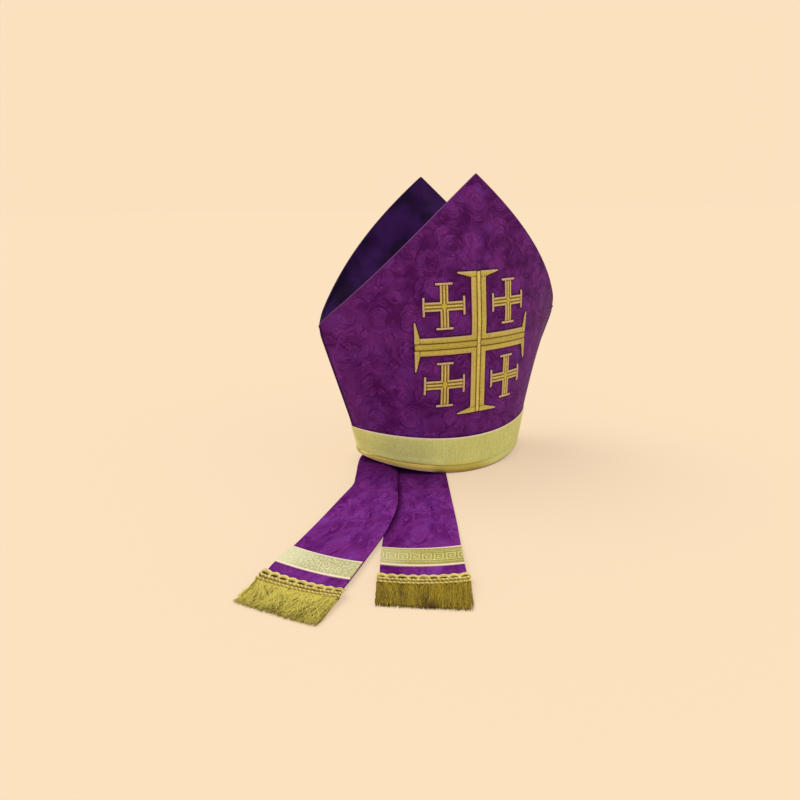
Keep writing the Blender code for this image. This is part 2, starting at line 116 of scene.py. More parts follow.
# place, left edge, right edge, crown: the strip's middle surface, from the mitre's centre
LAPPETS = {
    "left": (
        ("seam", (-0.0530, 0.0750, 0.0200), (-0.0070, 0.0850, 0.0200), 0.000),
        ("hem", (-0.0535, 0.0735, 0.0060), (-0.0080, 0.0835, 0.0060), 0.000),
        ("landing", (-0.0600, 0.0670, 0.0010), (-0.0140, 0.0740, 0.0030), 0.000),
        ("turn_in", (-0.0770, 0.0620, 0.0010), (-0.0340, 0.0540, 0.0031), 0.001),
        ("below_rim", (-0.0930, 0.0480, 0.0010), (-0.0560, 0.0220, 0.0031), 0.003),
        ("under_edge", (-0.1080, 0.0270, 0.0010), (-0.0720, -0.0040, 0.0033), 0.006),
        ("clear", (-0.1325, -0.0138, 0.0012), (-0.0950, -0.0430, 0.0048), 0.010),
        ("kink", (-0.1480, -0.0385, 0.0030), (-0.1130, -0.0725, 0.0058), 0.010),
        ("turn", (-0.1770, -0.0690, 0.0055), (-0.1380, -0.1160, 0.0046), 0.005),
        ("run", (-0.2240, -0.1135, 0.0060), (-0.1770, -0.1630, 0.0042), 0.000),
        ("galloon_top", (-0.2680, -0.1534, 0.0065), (-0.2266, -0.2090, 0.0034), -0.002),
        ("galloon_end", (-0.2925, -0.1725, 0.0065), (-0.2502, -0.2305, 0.0034), -0.002),
        ("braid_top", (-0.3020, -0.1814, 0.0062), (-0.2610, -0.2397, 0.0034), -0.002),
        ("end", (-0.3155, -0.1938, 0.0056), (-0.2722, -0.2500, 0.0032), -0.002),
    ),
    "right": (
        ("seam", (0.0075, 0.0850, 0.0200), (0.0535, 0.0750, 0.0200), 0.000),
        ("hem", (0.0065, 0.0835, 0.0060), (0.0525, 0.0735, 0.0060), 0.000),
        ("landing", (0.0000, 0.0740, 0.0009), (0.0460, 0.0660, 0.0009), 0.000),
        ("turn_in", (-0.0180, 0.0590, 0.0009), (0.0300, 0.0500, 0.0009), 0.000),
        ("below", (-0.0400, 0.0370, 0.0009), (0.0080, 0.0200, 0.0009), 0.000),
        ("middle", (-0.0629, 0.0080, 0.0009), (-0.0142, -0.0149, 0.0009), 0.000),
        ("rim", (-0.0897, -0.0290, 0.0009), (-0.0379, -0.0566, 0.0009), 0.000),
        ("clear", (-0.1298, -0.0873, 0.0009), (-0.0735, -0.1192, 0.0009), 0.000),
        ("run", (-0.1687, -0.1457, 0.0009), (-0.1080, -0.1801, 0.0013), 0.000),
        ("galloon_top", (-0.1987, -0.1921, 0.0034), (-0.1359, -0.2272, 0.0034), -0.0022),
        ("galloon_end", (-0.2161, -0.2205, 0.0034), (-0.1535, -0.2578, 0.0034), -0.0022),
        ("braid_top", (-0.2231, -0.2327, 0.0034), (-0.1605, -0.2702, 0.0034), -0.0022),
        ("end", (-0.2318, -0.2475, 0.0032), (-0.1695, -0.2855, 0.0032), -0.0022),
    ),
}

# --- Finer measures that only the looks need ------------------------------------------------------

TURN = 2 * math.pi
CLOTH_WALL = 0.0018
LINING_WALL = 0.0008
BAND_WALL = 0.0009
STITCH_HEIGHT = 0.0012
STITCH_STEP = 0.003
GROUND_STEP = 0.006
GALLOON_WALL = 0.0008
GALLOON_WIDTH = 0.033
FACE_BEND_REACH = 0.157
SEAM_RADIUS = 0.0009
LINING_SEAM_RADIUS = 0.0007
RING_COLUMNS = 121
SEWN_ON = 0.0003

BRAID_WIDTH = 0.080
BRAID_RUN = 0.0188
TAPE_THICKNESS = 0.0010
GIMP_PITCH = 0.0091
GIMP_THREAD = 0.00056
SLOT_HEIGHT = 0.0097
RIBS = 110
RIB_THREAD = 0.00036
# the gimp's loops of parallel threads, from the dark slot outwards: half length, reach up, reach
# down, shade
GIMP_LOOPS = (
    (0.0037, 0.0020, 0.0017, 0.28),
    (0.0042, 0.0031, 0.0023, 0.60),
    (0.0045, 0.0044, 0.0028, 0.85),
    (0.0047, 0.0057, 0.0032, 1.10),
)
# lazy threads that fill the valleys between the loops: height, depth of the scallops, shade
GIMP_SCALLOPS = ((0.0123, 0.0003, 0.35), (0.0133, 0.0005, 0.55), (0.0142, 0.0008, 0.85))
# the two twisted cords: height, girth, pitch
GIMP_CORDS = ((0.0068, 0.0011, 0.0036), (0.0000, 0.0010, 0.0040))
# how the fringes' threads lie: spread of their lean, how much they curl, share of stray threads,
# spread of their tone, and glint
FRINGE_MANNERS = {"left": (0.0048, 0.0020, 0.20, 0.30, 1.2), "right": (0.0016, 0.0009, 0.06, 0.17, 0.7)}
FRINGE_LAYERS = 5
LAYER_RISE = 0.00052
# how each fringe's threads lean from its left end to its right one, in metres at their tips, and how
# much longer than the measured fringe they hang at the left end, in the middle and at the right end
FRINGE_LEAN = {"left": (-0.0025, -0.0065), "right": (0.0012, -0.0025)}
FRINGE_EXTRA = {"left": (0.0010, 0.0025, 0.0030), "right": (0.0010, 0.0020, 0.0020)}
# painted shade in the hollows where the fringes' threads part: place along the fringe at the root,
# drift towards the tips, width, strength, and the shares of the length between which each one sets in
FRINGE_PAINTED_HOLLOWS = {
    "left": ((0.40, 0.10, 0.050, 0.75, 0.04, 0.34), (0.78, 0.00, 0.045, 0.45, 0.15, 0.35)),
    "right": ((0.36, 0.24, 0.045, 0.75, 0.55, 0.85), (0.52, 0.02, 0.070, 0.28, 0.05, 0.30)),
}

RISE_TO_CORNER = CORNER_HEIGHT - HEM_RISE
RISE_TO_PEAK = PEAK_HEIGHT - HEM_RISE


# =================================================================================================
# Shape of the panels
# =================================================================================================


def mix(a, b, share):
    return a + (b - a) * share


def clamp(value):
    return np.clip(value, 0.0, 1.0)


def smooth(low, high, value):
    share = clamp((np.asarray(value, float) - low) / (high - low))
    return share * share * (3 - 2 * share)


def depth(rise):
    corner, peak = RISE_TO_CORNER, RISE_TO_PEAK
    at_rim = RIM_DEPTH * (rise - corner) * (rise - peak) / (corner * peak)
    at_corner = CORNER_DEPTH * rise * (rise - peak) / (corner * (corner - peak))
    at_peak = PEAK_DEPTH * rise * (rise - corner) / (peak * (peak - corner))
    return at_rim + at_corner + at_peak


def full_half_width(rise):
    seam = mix(RIM_HALF_WIDTH, CORNER_HALF_WIDTH, clamp(rise / RISE_TO_CORNER))
    share = clamp((rise - RISE_TO_CORNER) / (RISE_TO_PEAK - RISE_TO_CORNER))
    taper = EDGE_TAPER * share + (1 - EDGE_TAPER) * share**EDGE_POWER
    return np.where(rise <= RISE_TO_CORNER, seam, CORNER_HALF_WIDTH * (1 - taper))


def half_width(rise):
    blunting = CORNER_BLUNTING * np.exp(-(((rise - RISE_TO_CORNER) / CORNER_BLUNT_REACH) ** 2))
    return np.maximum(full_half_width(rise) - blunting, 0.0)


def seam_y(rise):
    return SEAM_SETBACK * (1 - clamp(rise / RISE_TO_CORNER))


def sag(x):
    return RIGHT_CORNER_SAG * clamp(x / CORNER_HALF_WIDTH) ** 4


CENTRE_Y = float(depth(-HEM_RISE) - PANEL_WALL / 2 + SEWING_GAP / 2 - SEAM_SETBACK)


def panel_points(side, across, level, offset=0.0):
    """Points of a panel. across runs from -1 to 1 between the seams or edges; level runs from 0 at
    the hem to 1 at the corners and 2 at the peak."""
    across, level = np.broadcast_arrays(np.asarray(across, float), np.asarray(level, float))
    lower = level <= 1
    share = clamp(level - 1)
    row = clamp(level) * RISE_TO_CORNER
    lifted = clamp((across**2 - HEM_FLAT**2) / (1 - HEM_FLAT**2))
    rise = row - HEM_RISE * (1 - lifted) * (1 - row / RISE_TO_CORNER)
    rise = np.where(lower, rise, mix(RISE_TO_CORNER, RISE_TO_PEAK, share))
    up = clamp(rise / RISE_TO_CORNER)
    bulge = depth(rise) + offset
    half = half_width(rise)
    low_half = mix(half + offset, half * math.sqrt(1 + offset / CORNER_DEPTH), up)
    power = mix(RIM_ROUNDNESS, CORNER_ROUNDNESS, up)
    low_y = bulge * np.sqrt(np.maximum(1 - across**2, 0.0)) ** (2 * power)
    curve = mix(CORNER_DEPTH / CORNER_HALF_WIDTH**2, PEAK_CURVE, share)
    full = np.maximum(full_half_width(rise), 1e-6)
    high_half = np.minimum(half, np.sqrt(bulge / curve) * half / full)
    high_x = high_half * across * full / np.maximum(half, 1e-6)
    high_y = np.maximum(bulge - curve * high_x**2, 0.0)
    x = np.where(lower, low_half, high_half) * across
    y = np.where(lower, low_y, high_y) + SEWING_GAP / 2
    y = np.where(lower, seam_y(rise), 0.0) + side * y + CENTRE_Y
    return np.stack([x, y, HEM_RISE + rise - sag(x)], axis=-1)


def front_points(x, height):
    """Points of the front panel's face at x and at a height above the surface."""
    rise = height - HEM_RISE + sag(x)
    share = clamp((rise - RISE_TO_CORNER) / (RISE_TO_PEAK - RISE_TO_CORNER))
    curve = mix(CORNER_DEPTH / CORNER_HALF_WIDTH**2, PEAK_CURVE, share)
    power = mix(RIM_ROUNDNESS, CORNER_ROUNDNESS, clamp(rise / RISE_TO_CORNER))
    low = depth(rise) * np.maximum(1 - (x / half_width(rise)) ** 2, 0.0) ** power
    bulge = np.where(rise > RISE_TO_CORNER, depth(rise) - curve * x**2, low)
    return np.stack([x, seam_y(rise) - bulge + CENTRE_Y, height], axis=-1)


def on_face(across, height, lift):
    """Points lifted off the front panel, for places across and up its face."""
    across, height, lift = np.broadcast_arrays(*[np.asarray(v, float) for v in (across, height, lift)])
    creep = clamp((CROSS_CREEP_TOP - height) / (CROSS_CREEP_TOP - CROSS_CREEP_FULL))
    across = np.where(across < 0, across * (1 - CROSS_CREEP * creep), across)
    bend = 2 * CORNER_DEPTH / FACE_BEND_REACH**2
    x = across * (1 - (bend * across) ** 2 / 6)
    here = front_points(x, height)
    step = 0.001
    outward = np.cross(front_points(x + step, height) - here, front_points(x, height + step) - here)
    outward /= np.linalg.norm(outward, axis=-1, keepdims=True)
    return here + outward * lift[..., None]


# =================================================================================================
# Shape of the lappets
# =================================================================================================


def through(values, place):
    """A smooth curve through a row of values, read at places counted in values."""
    values = np.asarray(values, float)
    place = np.asarray(place, float)
    last = len(values) - 1
    start = np.clip(place.astype(int), 0, last - 1)
    share = place - start
    if values.ndim > 1:
        share = share[..., None]
    before, here = values[np.maximum(start - 1, 0)], values[start]
    there, after = values[start + 1], values[np.minimum(start + 2, last)]
    out, arrive = (there - before) / 2, (after - here) / 2
    squared, cubed = share**2, share**3
    return (
        here * (2 * cubed - 3 * squared + 1)
        + out * (cubed - 2 * squared + share)
        + there * (3 * squared - 2 * cubed)
        + arrive * (cubed - squared)
    )


def lappet_points(name, place, across, lift=0.0):
    """Points of a lappet at places along its table and from 0 to 1 across it, lifted off it."""
    table = LAPPETS[name]
    place, across, lift = np.broadcast_arrays(*[np.asarray(v, float) for v in (place, across, lift)])
    lefts, rights = [row[1] for row in table], [row[2] for row in table]
    crowns = [row[3] for row in table]

    def bare(at, over):
        points = through(lefts, at) * (1 - over[..., None]) + through(rights, at) * over[..., None]
        points[..., 2] += 4 * through(crowns, at) * over * (1 - over)
        return points

    step, last = 0.02, len(table) - 1
    ahead, behind = np.clip(place + step, step, last), np.clip(place - step, 0, last - step)
    along = bare(ahead, across) - bare(behind, across)
    over = bare(place, across + step) - bare(place, across - step)
    upward = np.cross(along, over)
    upward /= np.linalg.norm(upward, axis=-1, keepdims=True)
    points = bare(place, across) + upward * lift[..., None]
    points[..., 1] += CENTRE_Y
    return points


def place_of(name, row_name):
    return [row[0] for row in LAPPETS[name]].index(row_name)


# =================================================================================================
# Meshes
# =================================================================================================


def object_from(bm, name, materials, sharp_degrees=40):
    bmesh.ops.remove_doubles(bm, verts=bm.verts, dist=1e-6)
    bmesh.ops.dissolve_degenerate(bm, edges=bm.edges, dist=1e-7)
    bmesh.ops.recalc_face_normals(bm, faces=bm.faces)
    mesh = bpy.data.meshes.new(name)
    bm.to_mesh(mesh)
    bm.free()
    mesh.shade_smooth()
    mesh.set_sharp_from_angle(angle=math.radians(sharp_degrees))
    for material in materials:
        mesh.materials.append(material)
    piece = bpy.data.objects.new(name, mesh)
    bpy.context.scene.collection.objects.link(piece)
    return piece


def add_slab(bm, top, bottom, chart, ring=False, back_material=0, material=0):
    """A closed body between two grids of points, with the chart's places as its UV map."""
    rows, columns = top.shape[:2]
    layer = bm.loops.layers.uv.get("UVMap") or bm.loops.layers.uv.new("UVMap")
    grids = []
    for grid in (top, bottom):
        grids.append([[bm.verts.new(grid[j, i]) for i in range(columns)] for j in range(rows)])
    places = chart.reshape(rows, columns, 2)

    def face(corners, slot):
        made = bm.faces.new([grids[g][j][i] for g, j, i in corners])
        made.material_index = slot
        for loop, (_, j, i) in zip(made.loops, corners):
            loop[layer].uv = places[j, i]

    for j in range(rows - 1):
        for i in range(columns - 1):
            face([(0, j, i), (0, j, i + 1), (0, j + 1, i + 1), (0, j + 1, i)], material)
            face([(1, j + 1, i), (1, j + 1, i + 1), (1, j, i + 1), (1, j, i)], back_material)
    for i in range(columns - 1):
        for j in (0, rows - 1):
            face([(0, j, i), (0, j, i + 1), (1, j, i + 1), (1, j, i)], material)
    if not ring:
        for j in range(rows - 1):
            for i in (0, columns - 1):
                face([(0, j, i), (0, j + 1, i), (1, j + 1, i), (1, j, i)], material)


def slab(name, top, bottom, chart, materials, ring=False, back_material=0):
    bm = bmesh.new()
    add_slab(bm, top, bottom, chart, ring, back_material)
    return object_from(bm, name, materials)


def chart_of(points, origin_column=None):
    """A flat chart of a grid of points, in metres: distance along its rows from their middle or from a
    column, and up its columns."""
    steps = np.linalg.norm(np.diff(points, axis=1), axis=-1)
    along = np.concatenate([np.zeros((points.shape[0], 1)), np.cumsum(steps, axis=1)], axis=1)
    if origin_column is None:
        along -= (along[:, :1] + along[:, -1:]) / 2
    else:
        along -= along[:, origin_column : origin_column + 1]
    rises = np.linalg.norm(np.diff(points, axis=0), axis=-1)
    up = np.concatenate([np.zeros((1, points.shape[1])), np.cumsum(rises, axis=0)], axis=0)
    return np.stack([along, up], axis=-1)


def grid(low_a, high_a, count_a, low_b, high_b, count_b):
    """Two arrays of values for a grid: the first varies along a row, the second from row to row."""
    return np.meshgrid(np.linspace(low_a, high_a, count_a), np.linspace(low_b, high_b, count_b))


# =================================================================================================
# Node trees
# =================================================================================================


def feed(tree, socket, value):
    """Sets a socket to a constant, or links it to a value that changes."""
    value = value.socket if isinstance(value, Value) else value
    if isinstance(value, bpy.types.NodeSocket):
        tree.links.new(value, socket)
    else:
        socket.default_value = value


def add_node(tree, kind, settings, values, named=()):
    """A node with its settings made first, then the values or links of its sockets."""
    made = tree.nodes.new(kind)
    for name, setting in settings.items():
        setattr(made, name, setting)
    for socket, value in [*enumerate(values), *dict(named).items()]:
        feed(tree, made.inputs[socket], value)
    return made


def maths(operation, swapped=False):
    """A method of Value that adds one Math node."""

    def method(self, *others):
        values = (*others, self) if swapped else (self, *others)
        return self.finish.node("ShaderNodeMath", {"operation": operation}, *values)

    return method


class Value:
    """A number that changes over a surface, to be written into expressions."""

    def __init__(self, finish, socket):
        self.finish, self.socket = finish, socket

    __add__ = __radd__ = maths("ADD")
    __sub__, __rsub__ = maths("SUBTRACT"), maths("SUBTRACT", swapped=True)
    __mul__ = __rmul__ = maths("MULTIPLY")
    __truediv__ = maths("DIVIDE")
    __pow__ = maths("POWER")
    __abs__ = maths("ABSOLUTE")
    sin, root, fract = maths("SINE"), maths("SQRT"), maths("FRACT")
    at_least, at_most = maths("MAXIMUM"), maths("MINIMUM")
    bounced = maths("PINGPONG")
    around = maths("ARCTAN2", swapped=True)  # the angle of (self, other) from the first axis

    def clamped(self):
        return self.at_least(0.0).at_most(1.0)

    def wrapped(self, low, high):
        return self.finish.node("ShaderNodeMath", {"operation": "WRAP"}, self, high, low)

    def wave(self, length):
        """A sine that repeats after a length."""
        return (self * (TURN / length)).sin()

    def step(self, low, high):
        """0 below low and 1 above high, smooth between; the other way round when low is the larger."""
        if low > high:
            return 1 - self.step(high, low)
        settings = {"interpolation_type": "SMOOTHSTEP"}
        return self.finish.node("ShaderNodeMapRange", settings, self, low, high, 0.0, 1.0)


class Finish:
    """A material being written: its tree, and the Principled shader that it ends in."""

    def __init__(self, name):
        self.material = bpy.data.materials.new(name)
        self.material.use_nodes = True
        self.tree = self.material.node_tree
        self.shader = self.tree.nodes["Principled BSDF"]

    def node(self, kind, settings, *values, out=0, **named):
        return Value(self, add_node(self.tree, kind, settings, values, named).outputs[out])

    def parts(self, vector):
        split = add_node(self.tree, "ShaderNodeSeparateXYZ", {}, [vector])
        return [Value(self, output) for output in split.outputs]

    def chart(self):
        """The place on the piece's flat chart, in metres."""
        return self.parts(self.node("ShaderNodeUVMap", {"uv_map": "UVMap"}))[:2]

    def place(self):
        return self.parts(self.node("ShaderNodeTexCoord", {}, out="Object"))

    def noise(self, place, scale, detail=2.0, rough=0.5):
        """Noise at a place of one to three values."""
        names = {"Scale": scale, "Detail": detail, "Roughness": rough}
        where = self.node("ShaderNodeCombineXYZ", {}, *place)
        return self.node("ShaderNodeTexNoise", {}, Vector=where, **names)

    def attribute(self, name):
        return self.node("ShaderNodeAttribute", {"attribute_name": name}, out="Fac")

    def blend(self, share, first, second):
        """A colour between two colours; a share past 0 or 1 is cut off there."""
        named = {0: share, 6: first, 7: second}
        return Value(self, add_node(self.tree, "ShaderNodeMix", {"data_type": "RGBA"}, [], named).outputs[2])

    def shades(self, share, colour, deep, light):
        """A colour between a deep shade and a light shade of one colour, given as its gains."""
        return self.blend(share, tinted(colour, deep), tinted(colour, light))

    def relief(self, height, distance, strength):
        return self.node("ShaderNodeBump", {}, Height=height, Distance=distance, Strength=strength)

    def shade(self, **sockets):
        """Sets or links the shader's sockets; underscores stand for spaces."""
        for name, value in sockets.items():
            feed(self.tree, self.shader.inputs[name.replace("_", " ")], value)
        return self.material


def linear(red, green, blue):
    """A colour for the sockets, from its everyday 0 to 255 values."""

    def decode(value):
        value /= 255
        return value / 12.92 if value <= 0.04045 else ((value + 0.055) / 1.055) ** 2.4

    return (decode(red), decode(green), decode(blue), 1.0)


# =================================================================================================
# Settings
# =================================================================================================


def colour_setting(name, description, red, green, blue):
    settings = {"default": linear(red, green, blue), "size": 4, "subtype": "COLOR", "min": 0.0, "max": 1.0}
    return bpy.props.FloatVectorProperty(name=name, description=description, **settings)


class MitreClothSettings(bpy.types.PropertyGroup):
    damask_ground: colour_setting("Damask ground", "Darker warp-faced ground of the damask", 74, 12, 82)
    damask_figure: colour_setting("Damask figure", "Lighter weft-faced figure of the damask", 122, 46, 134)
    damask_cool: colour_setting("Cool figure", "Figure where the silk turns bluer", 114, 48, 140)
    lining: colour_setting("Lining", "Satin between the peaks", 50, 16, 72)
    # the front edge's lighter colour is a painted highlight where light catches the rolled edge
    edge: colour_setting("Rolled edge", "Turned edge of the front panel", 112, 54, 118)
    repeat: bpy.props.FloatProperty(
        name="Repeat", description="Width of one mirrored half of the damask", default=0.058, unit="LENGTH"
    )


class MitreGoldSettings(bpy.types.PropertyGroup):
    galloon: colour_setting("Galloon", "Field of the rim's galloon", 214, 214, 128)
    selvedge: colour_setting("Selvedge", "Pale edges of the galloons", 240, 214, 190)
    roll: colour_setting("Roll", "Deep gold roll at the hem", 196, 176, 68)
    roll_turn: colour_setting("Turned roll", "Roll where it catches the light at its turn", 208, 180, 84)
    thread: colour_setting("Thread", "Gold satin stitch", 198, 176, 66)
    pale_thread: colour_setting("Pale thread", "Light column of the satin stitch", 218, 192, 104)
    tip_thread: colour_setting("Tip thread", "Palest stitches at the edges and tips", 222, 184, 146)
    # a shaded copy of the gold thread: it paints the shade deep in the grooves between the stitched columns,
    # the deep side of the gimp cords and the shade on the roll
    groove: colour_setting("Groove", "Thread seen deep in the grooves", 112, 84, 14)
    outline: colour_setting("Outline", "Dark ground around the stitching", 62, 16, 40)
    gimp: colour_setting("Gimp", "Cords and loops of the gimp braid", 228, 206, 114)
    # the gimp's dark tape paints the shade seen through its slots and between its loops
    gimp_ground: colour_setting("Gimp ground", "Tape below the gimp", 40, 28, 8)
    left_fringe: colour_setting("Left fringe", "Lit threads of the left fringe", 214, 198, 90)
    left_fringe_depth: colour_setting("Left fringe depth", "Deep threads of the left fringe", 112, 92, 16)
    right_fringe: colour_setting("Right fringe", "Lit threads of the right fringe", 165, 139, 30)
    right_fringe_depth: colour_setting("Right fringe depth", "Deep threads of the right fringe", 82, 56, 8)


class MitreTrimSettings(bpy.types.PropertyGroup):
    threads: bpy.props.IntProperty(name="Threads", description="Threads in each fringe", default=1700, min=10)
    thread_radius: bpy.props.FloatProperty(
        name="Thread radius", description="Radius of a fringe thread", default=0.00027, unit="LENGTH"
    )
    seed: bpy.props.IntProperty(name="Seed", description="Seed of the fringe's disorder", default=7)


class MitreStudioSettings(bpy.types.PropertyGroup):
    paper: colour_setting("Paper", "Colour that the floor shows", 252, 225, 191)
    sun: bpy.props.FloatProperty(name="Key light", description="Strength of the soft key", default=1.5)
    sky: bpy.props.FloatProperty(name="Ambient", description="Strength of the even light", default=0.85)


# =================================================================================================
# Finishes
# =================================================================================================


# rosettes of the damask in millimetres, for a mirrored half repeat: centre across and up, radius,
# petals, hand of the swirl, and the leaves that curl round it, each with its distance from the
# centre, where it starts and how far it reaches in degrees, its half width and how it opens out
ROSES = (
    (33, 30, 13, 5, 1, ((16.5, 10, 120, 3.6, 5.0), (17.5, 150, 105, 3.4, -2.0), (18.5, 270, 85, 3.8, 4.0))),
    (0, 71, 9, 4, 1, ((13.5, 200, 140, 3.2, 4.0), (13.0, 20, 100, 3.2, 3.0))),
    (35, 69, 10, 5, -1, ((13.5, 40, 130, 3.2, -2.0), (14.0, 205, 120, 3.4, 3.5))),
    (10, 108, 7, 4, -1, ((10.5, 30, 130, 2.8, 3.0), (11.0, 190, 110, 2.8, 2.0))),
    (57, 96, 10, 5, 1, ((13.5, 120, 110, 3.4, 3.0), (14.0, 240, 90, 3.2, 2.0))),
)
# plain leaves: root across and up, heading in degrees, length, half width
LEAVES = (
    (8, 4, 62, 22, 4.6),
    (22, 46, 100, 17, 4.0),
    (48, 44, 40, 15, 4.2),
    (4, 38, -80, 20, 4.4),
    (26, 86, 150, 15, 3.8),
    (44, 112, -50, 18, 4.4),
    (50, 18, -110, 17, 4.2),
)
DAMASK_HEIGHT = 116.0
FINE_RIB, RIM_RIB, RIM_PICK, ROLL_TWIST = 0.0009, 0.0011, 0.0008, 0.0016
# the rim's charts count from the middle of the front along the band, and up from its lower edge
GALLOON_JOIN = -0.040
RIM_SELVEDGE = (0.0286, 0.0292)
# the key pattern: pitch, height of its foot, size of a cell, and the guard lines beside it
KEY_PITCH, KEY_FOOT, KEY_CELL = 0.0105, 0.0098, 0.00150
KEY_GUARDS = (0.0068, 0.0245, 0.0272)
# its bars in cells, seven to a pitch: left, right, bottom and top
KEY_BARS = (
    (0, 1, 0, 8),
    (0, 6, 7, 8),
    (5, 6, 2, 8),
    (2, 6, 2, 3),
    (2, 3, 2, 5.6),
    (2, 4.4, 4.6, 5.6),
    (0, 8, 0, 1),
)


def damask_figure(finish, u, v, half, lines, strokes):
    """The damask's figure in a mirrored half repeat: roses, curling leaves and fine strokes. Gives
    its lightness from 0 to 1. lines and strokes weigh its dark outlines and its light strokes."""
    # the drawing wavers by a slow noise and by a quick one, each given by its scale and its reach
    across, up = u * 1000, v * 1000
    for depth_across, depth_up, scale, reach in ((0.0, 3.0, 20.0, 22.0), (6.0, 9.0, 75.0, 7.0)):
        across = across + (finish.noise((u, v, depth_across), scale, 1.0) - 0.5) * reach
        up = up + (finish.noise((v, u, depth_up), scale, 1.0) - 0.5) * reach
    across = across.bounced(half * 1000)
    light = dark = None

    def join(fill, line):
        nonlocal light, dark
        light = fill if light is None else light.at_least(fill)
        dark = line if dark is None else dark.at_least(line)

    def leaf(along, aside, width, lobes):
        """A lobed leaf along a share of its length, with its midrib and its dark outline."""
        body = ((along.clamped() ** 0.72) * math.pi).sin()
        body = body * (1 + 0.26 * (along * lobes).sin()) * width + 0.01
        fullness = abs(aside) / body
        there = along.step(0.0, 0.03) * along.step(1.0, 0.96)
        inside = fullness.step(1.05, 0.6) * there
        midrib = abs(aside).step(0.85, 0.35) * inside
        outline = fullness.step(1.7, 1.15) * fullness.step(0.75, 1.05) * there
        join(inside * (0.55 + 0.45 * fullness), outline.at_least(midrib * 0.75))

    def from_centre(centre_x, centre_y):
        return across - centre_x, (up - centre_y).wrapped(-DAMASK_HEIGHT / 2, DAMASK_HEIGHT / 2)

    for centre_x, centre_y, radius, petals, hand, curls in ROSES:
        x, y = from_centre(centre_x, centre_y)
        angle = x.around(y)
        reach = (x * x + y * y).root()
        turned = (angle * petals + reach * (hand * 5 / radius)).sin()
        swirl = reach * (2.9 / radius) + angle * (hand / TURN) + turned * 0.24
        petal = swirl.fract()
        inside = reach.step(radius * 1.06, radius * 0.94)
        rim = abs(reach - radius * 1.03).step(1.0, 0.35)
        line = (inside * petal.step(0.30, 0.06)).at_least(rim * 0.8)
        join(inside * (0.2 + 0.8 * petal.step(0.1, 0.85)), line)
        for distance, start, span, width, drift in curls:
            along = (angle - math.radians(start)).wrapped(0.0, TURN) * (1 / math.radians(span))
            leaf(along, reach - distance - along * drift, width, 17)
    for root_x, root_y, degrees, length, width in LEAVES:
        x, y = from_centre(root_x, root_y)
        turn = math.radians(degrees)
        along = (x * math.cos(turn) + y * math.sin(turn)) * (1 / length)
        aside = y * math.cos(turn) - x * math.sin(turn) + (along * math.pi).sin() * (0.45 * width)
        leaf(along, aside, width, 15)

    # thin strokes that wander between the leaves
    contour = finish.noise((across * 0.001, up * 0.001, 1.0), 46.0, 1.5) * 6
    stroke = abs(contour.fract() - 0.5).step(0.11, 0.02)
    shade = abs((contour + 0.3).fract() - 0.5).step(0.16, 0.03)
    here = finish.noise((u, v, 12.0), 62.0, 1.0).step(0.44, 0.60)
    tone = 0.38 + light * 0.36 - dark * lines + (stroke * strokes - shade * 0.24) * here
    return tone.clamped()


def tinted(colour, gain):
    """A colour with all its channels, or each of them, made stronger or weaker."""
    return tuple(min(c * g, 1.0) for c, g in zip(colour[:3], np.broadcast_to(gain, 3))) + (1.0,)


# gain of the colour, which on the lappets also paints the extra light that their flat tops catch;
# stretch of the figure along the cloth; weights of its dark outlines, of its light strokes and of the
# whole figure; how far the painted shade along a sewn edge or beside the left lappet reaches; gloss;
# and the mottling's scale, its weight, and how much livelier and darker it gets towards the peak, the
# darkening a painted shade against the extra light that the upper panel catches
PANEL_DAMASK = {
    "gain": 1.0,
    "stretch": 1.0,
    "lines": 0.24,
    "strokes": 0.46,
    "weight": 0.84,
    "painted_shade_reach": 0.0036,
    "gloss": 0.06,
    "mottle": (42.0, 1.6, 1.0),
}
# the lappets' gain paints the extra light that their flat tops catch, making them lighter than the panels
LAPPET_DAMASK = {
    "gain": (1.21, 1.36, 1.07),
    "stretch": 1.8,
    "lines": 0.12,
    "strokes": 0.75,
    "weight": 0.66,
    "painted_shade_reach": 0.011,
    "gloss": 0.0,
    "mottle": (62.0, 1.45, 0.0),
}
# heights between which the panels get livelier and darker, and lengths between which the painted
# shade that the mitre casts on the lappets fades out
PEAK_TURN = (0.17, 0.25)
PAINTED_SHADE_LENGTHS = (0.165, 0.24)


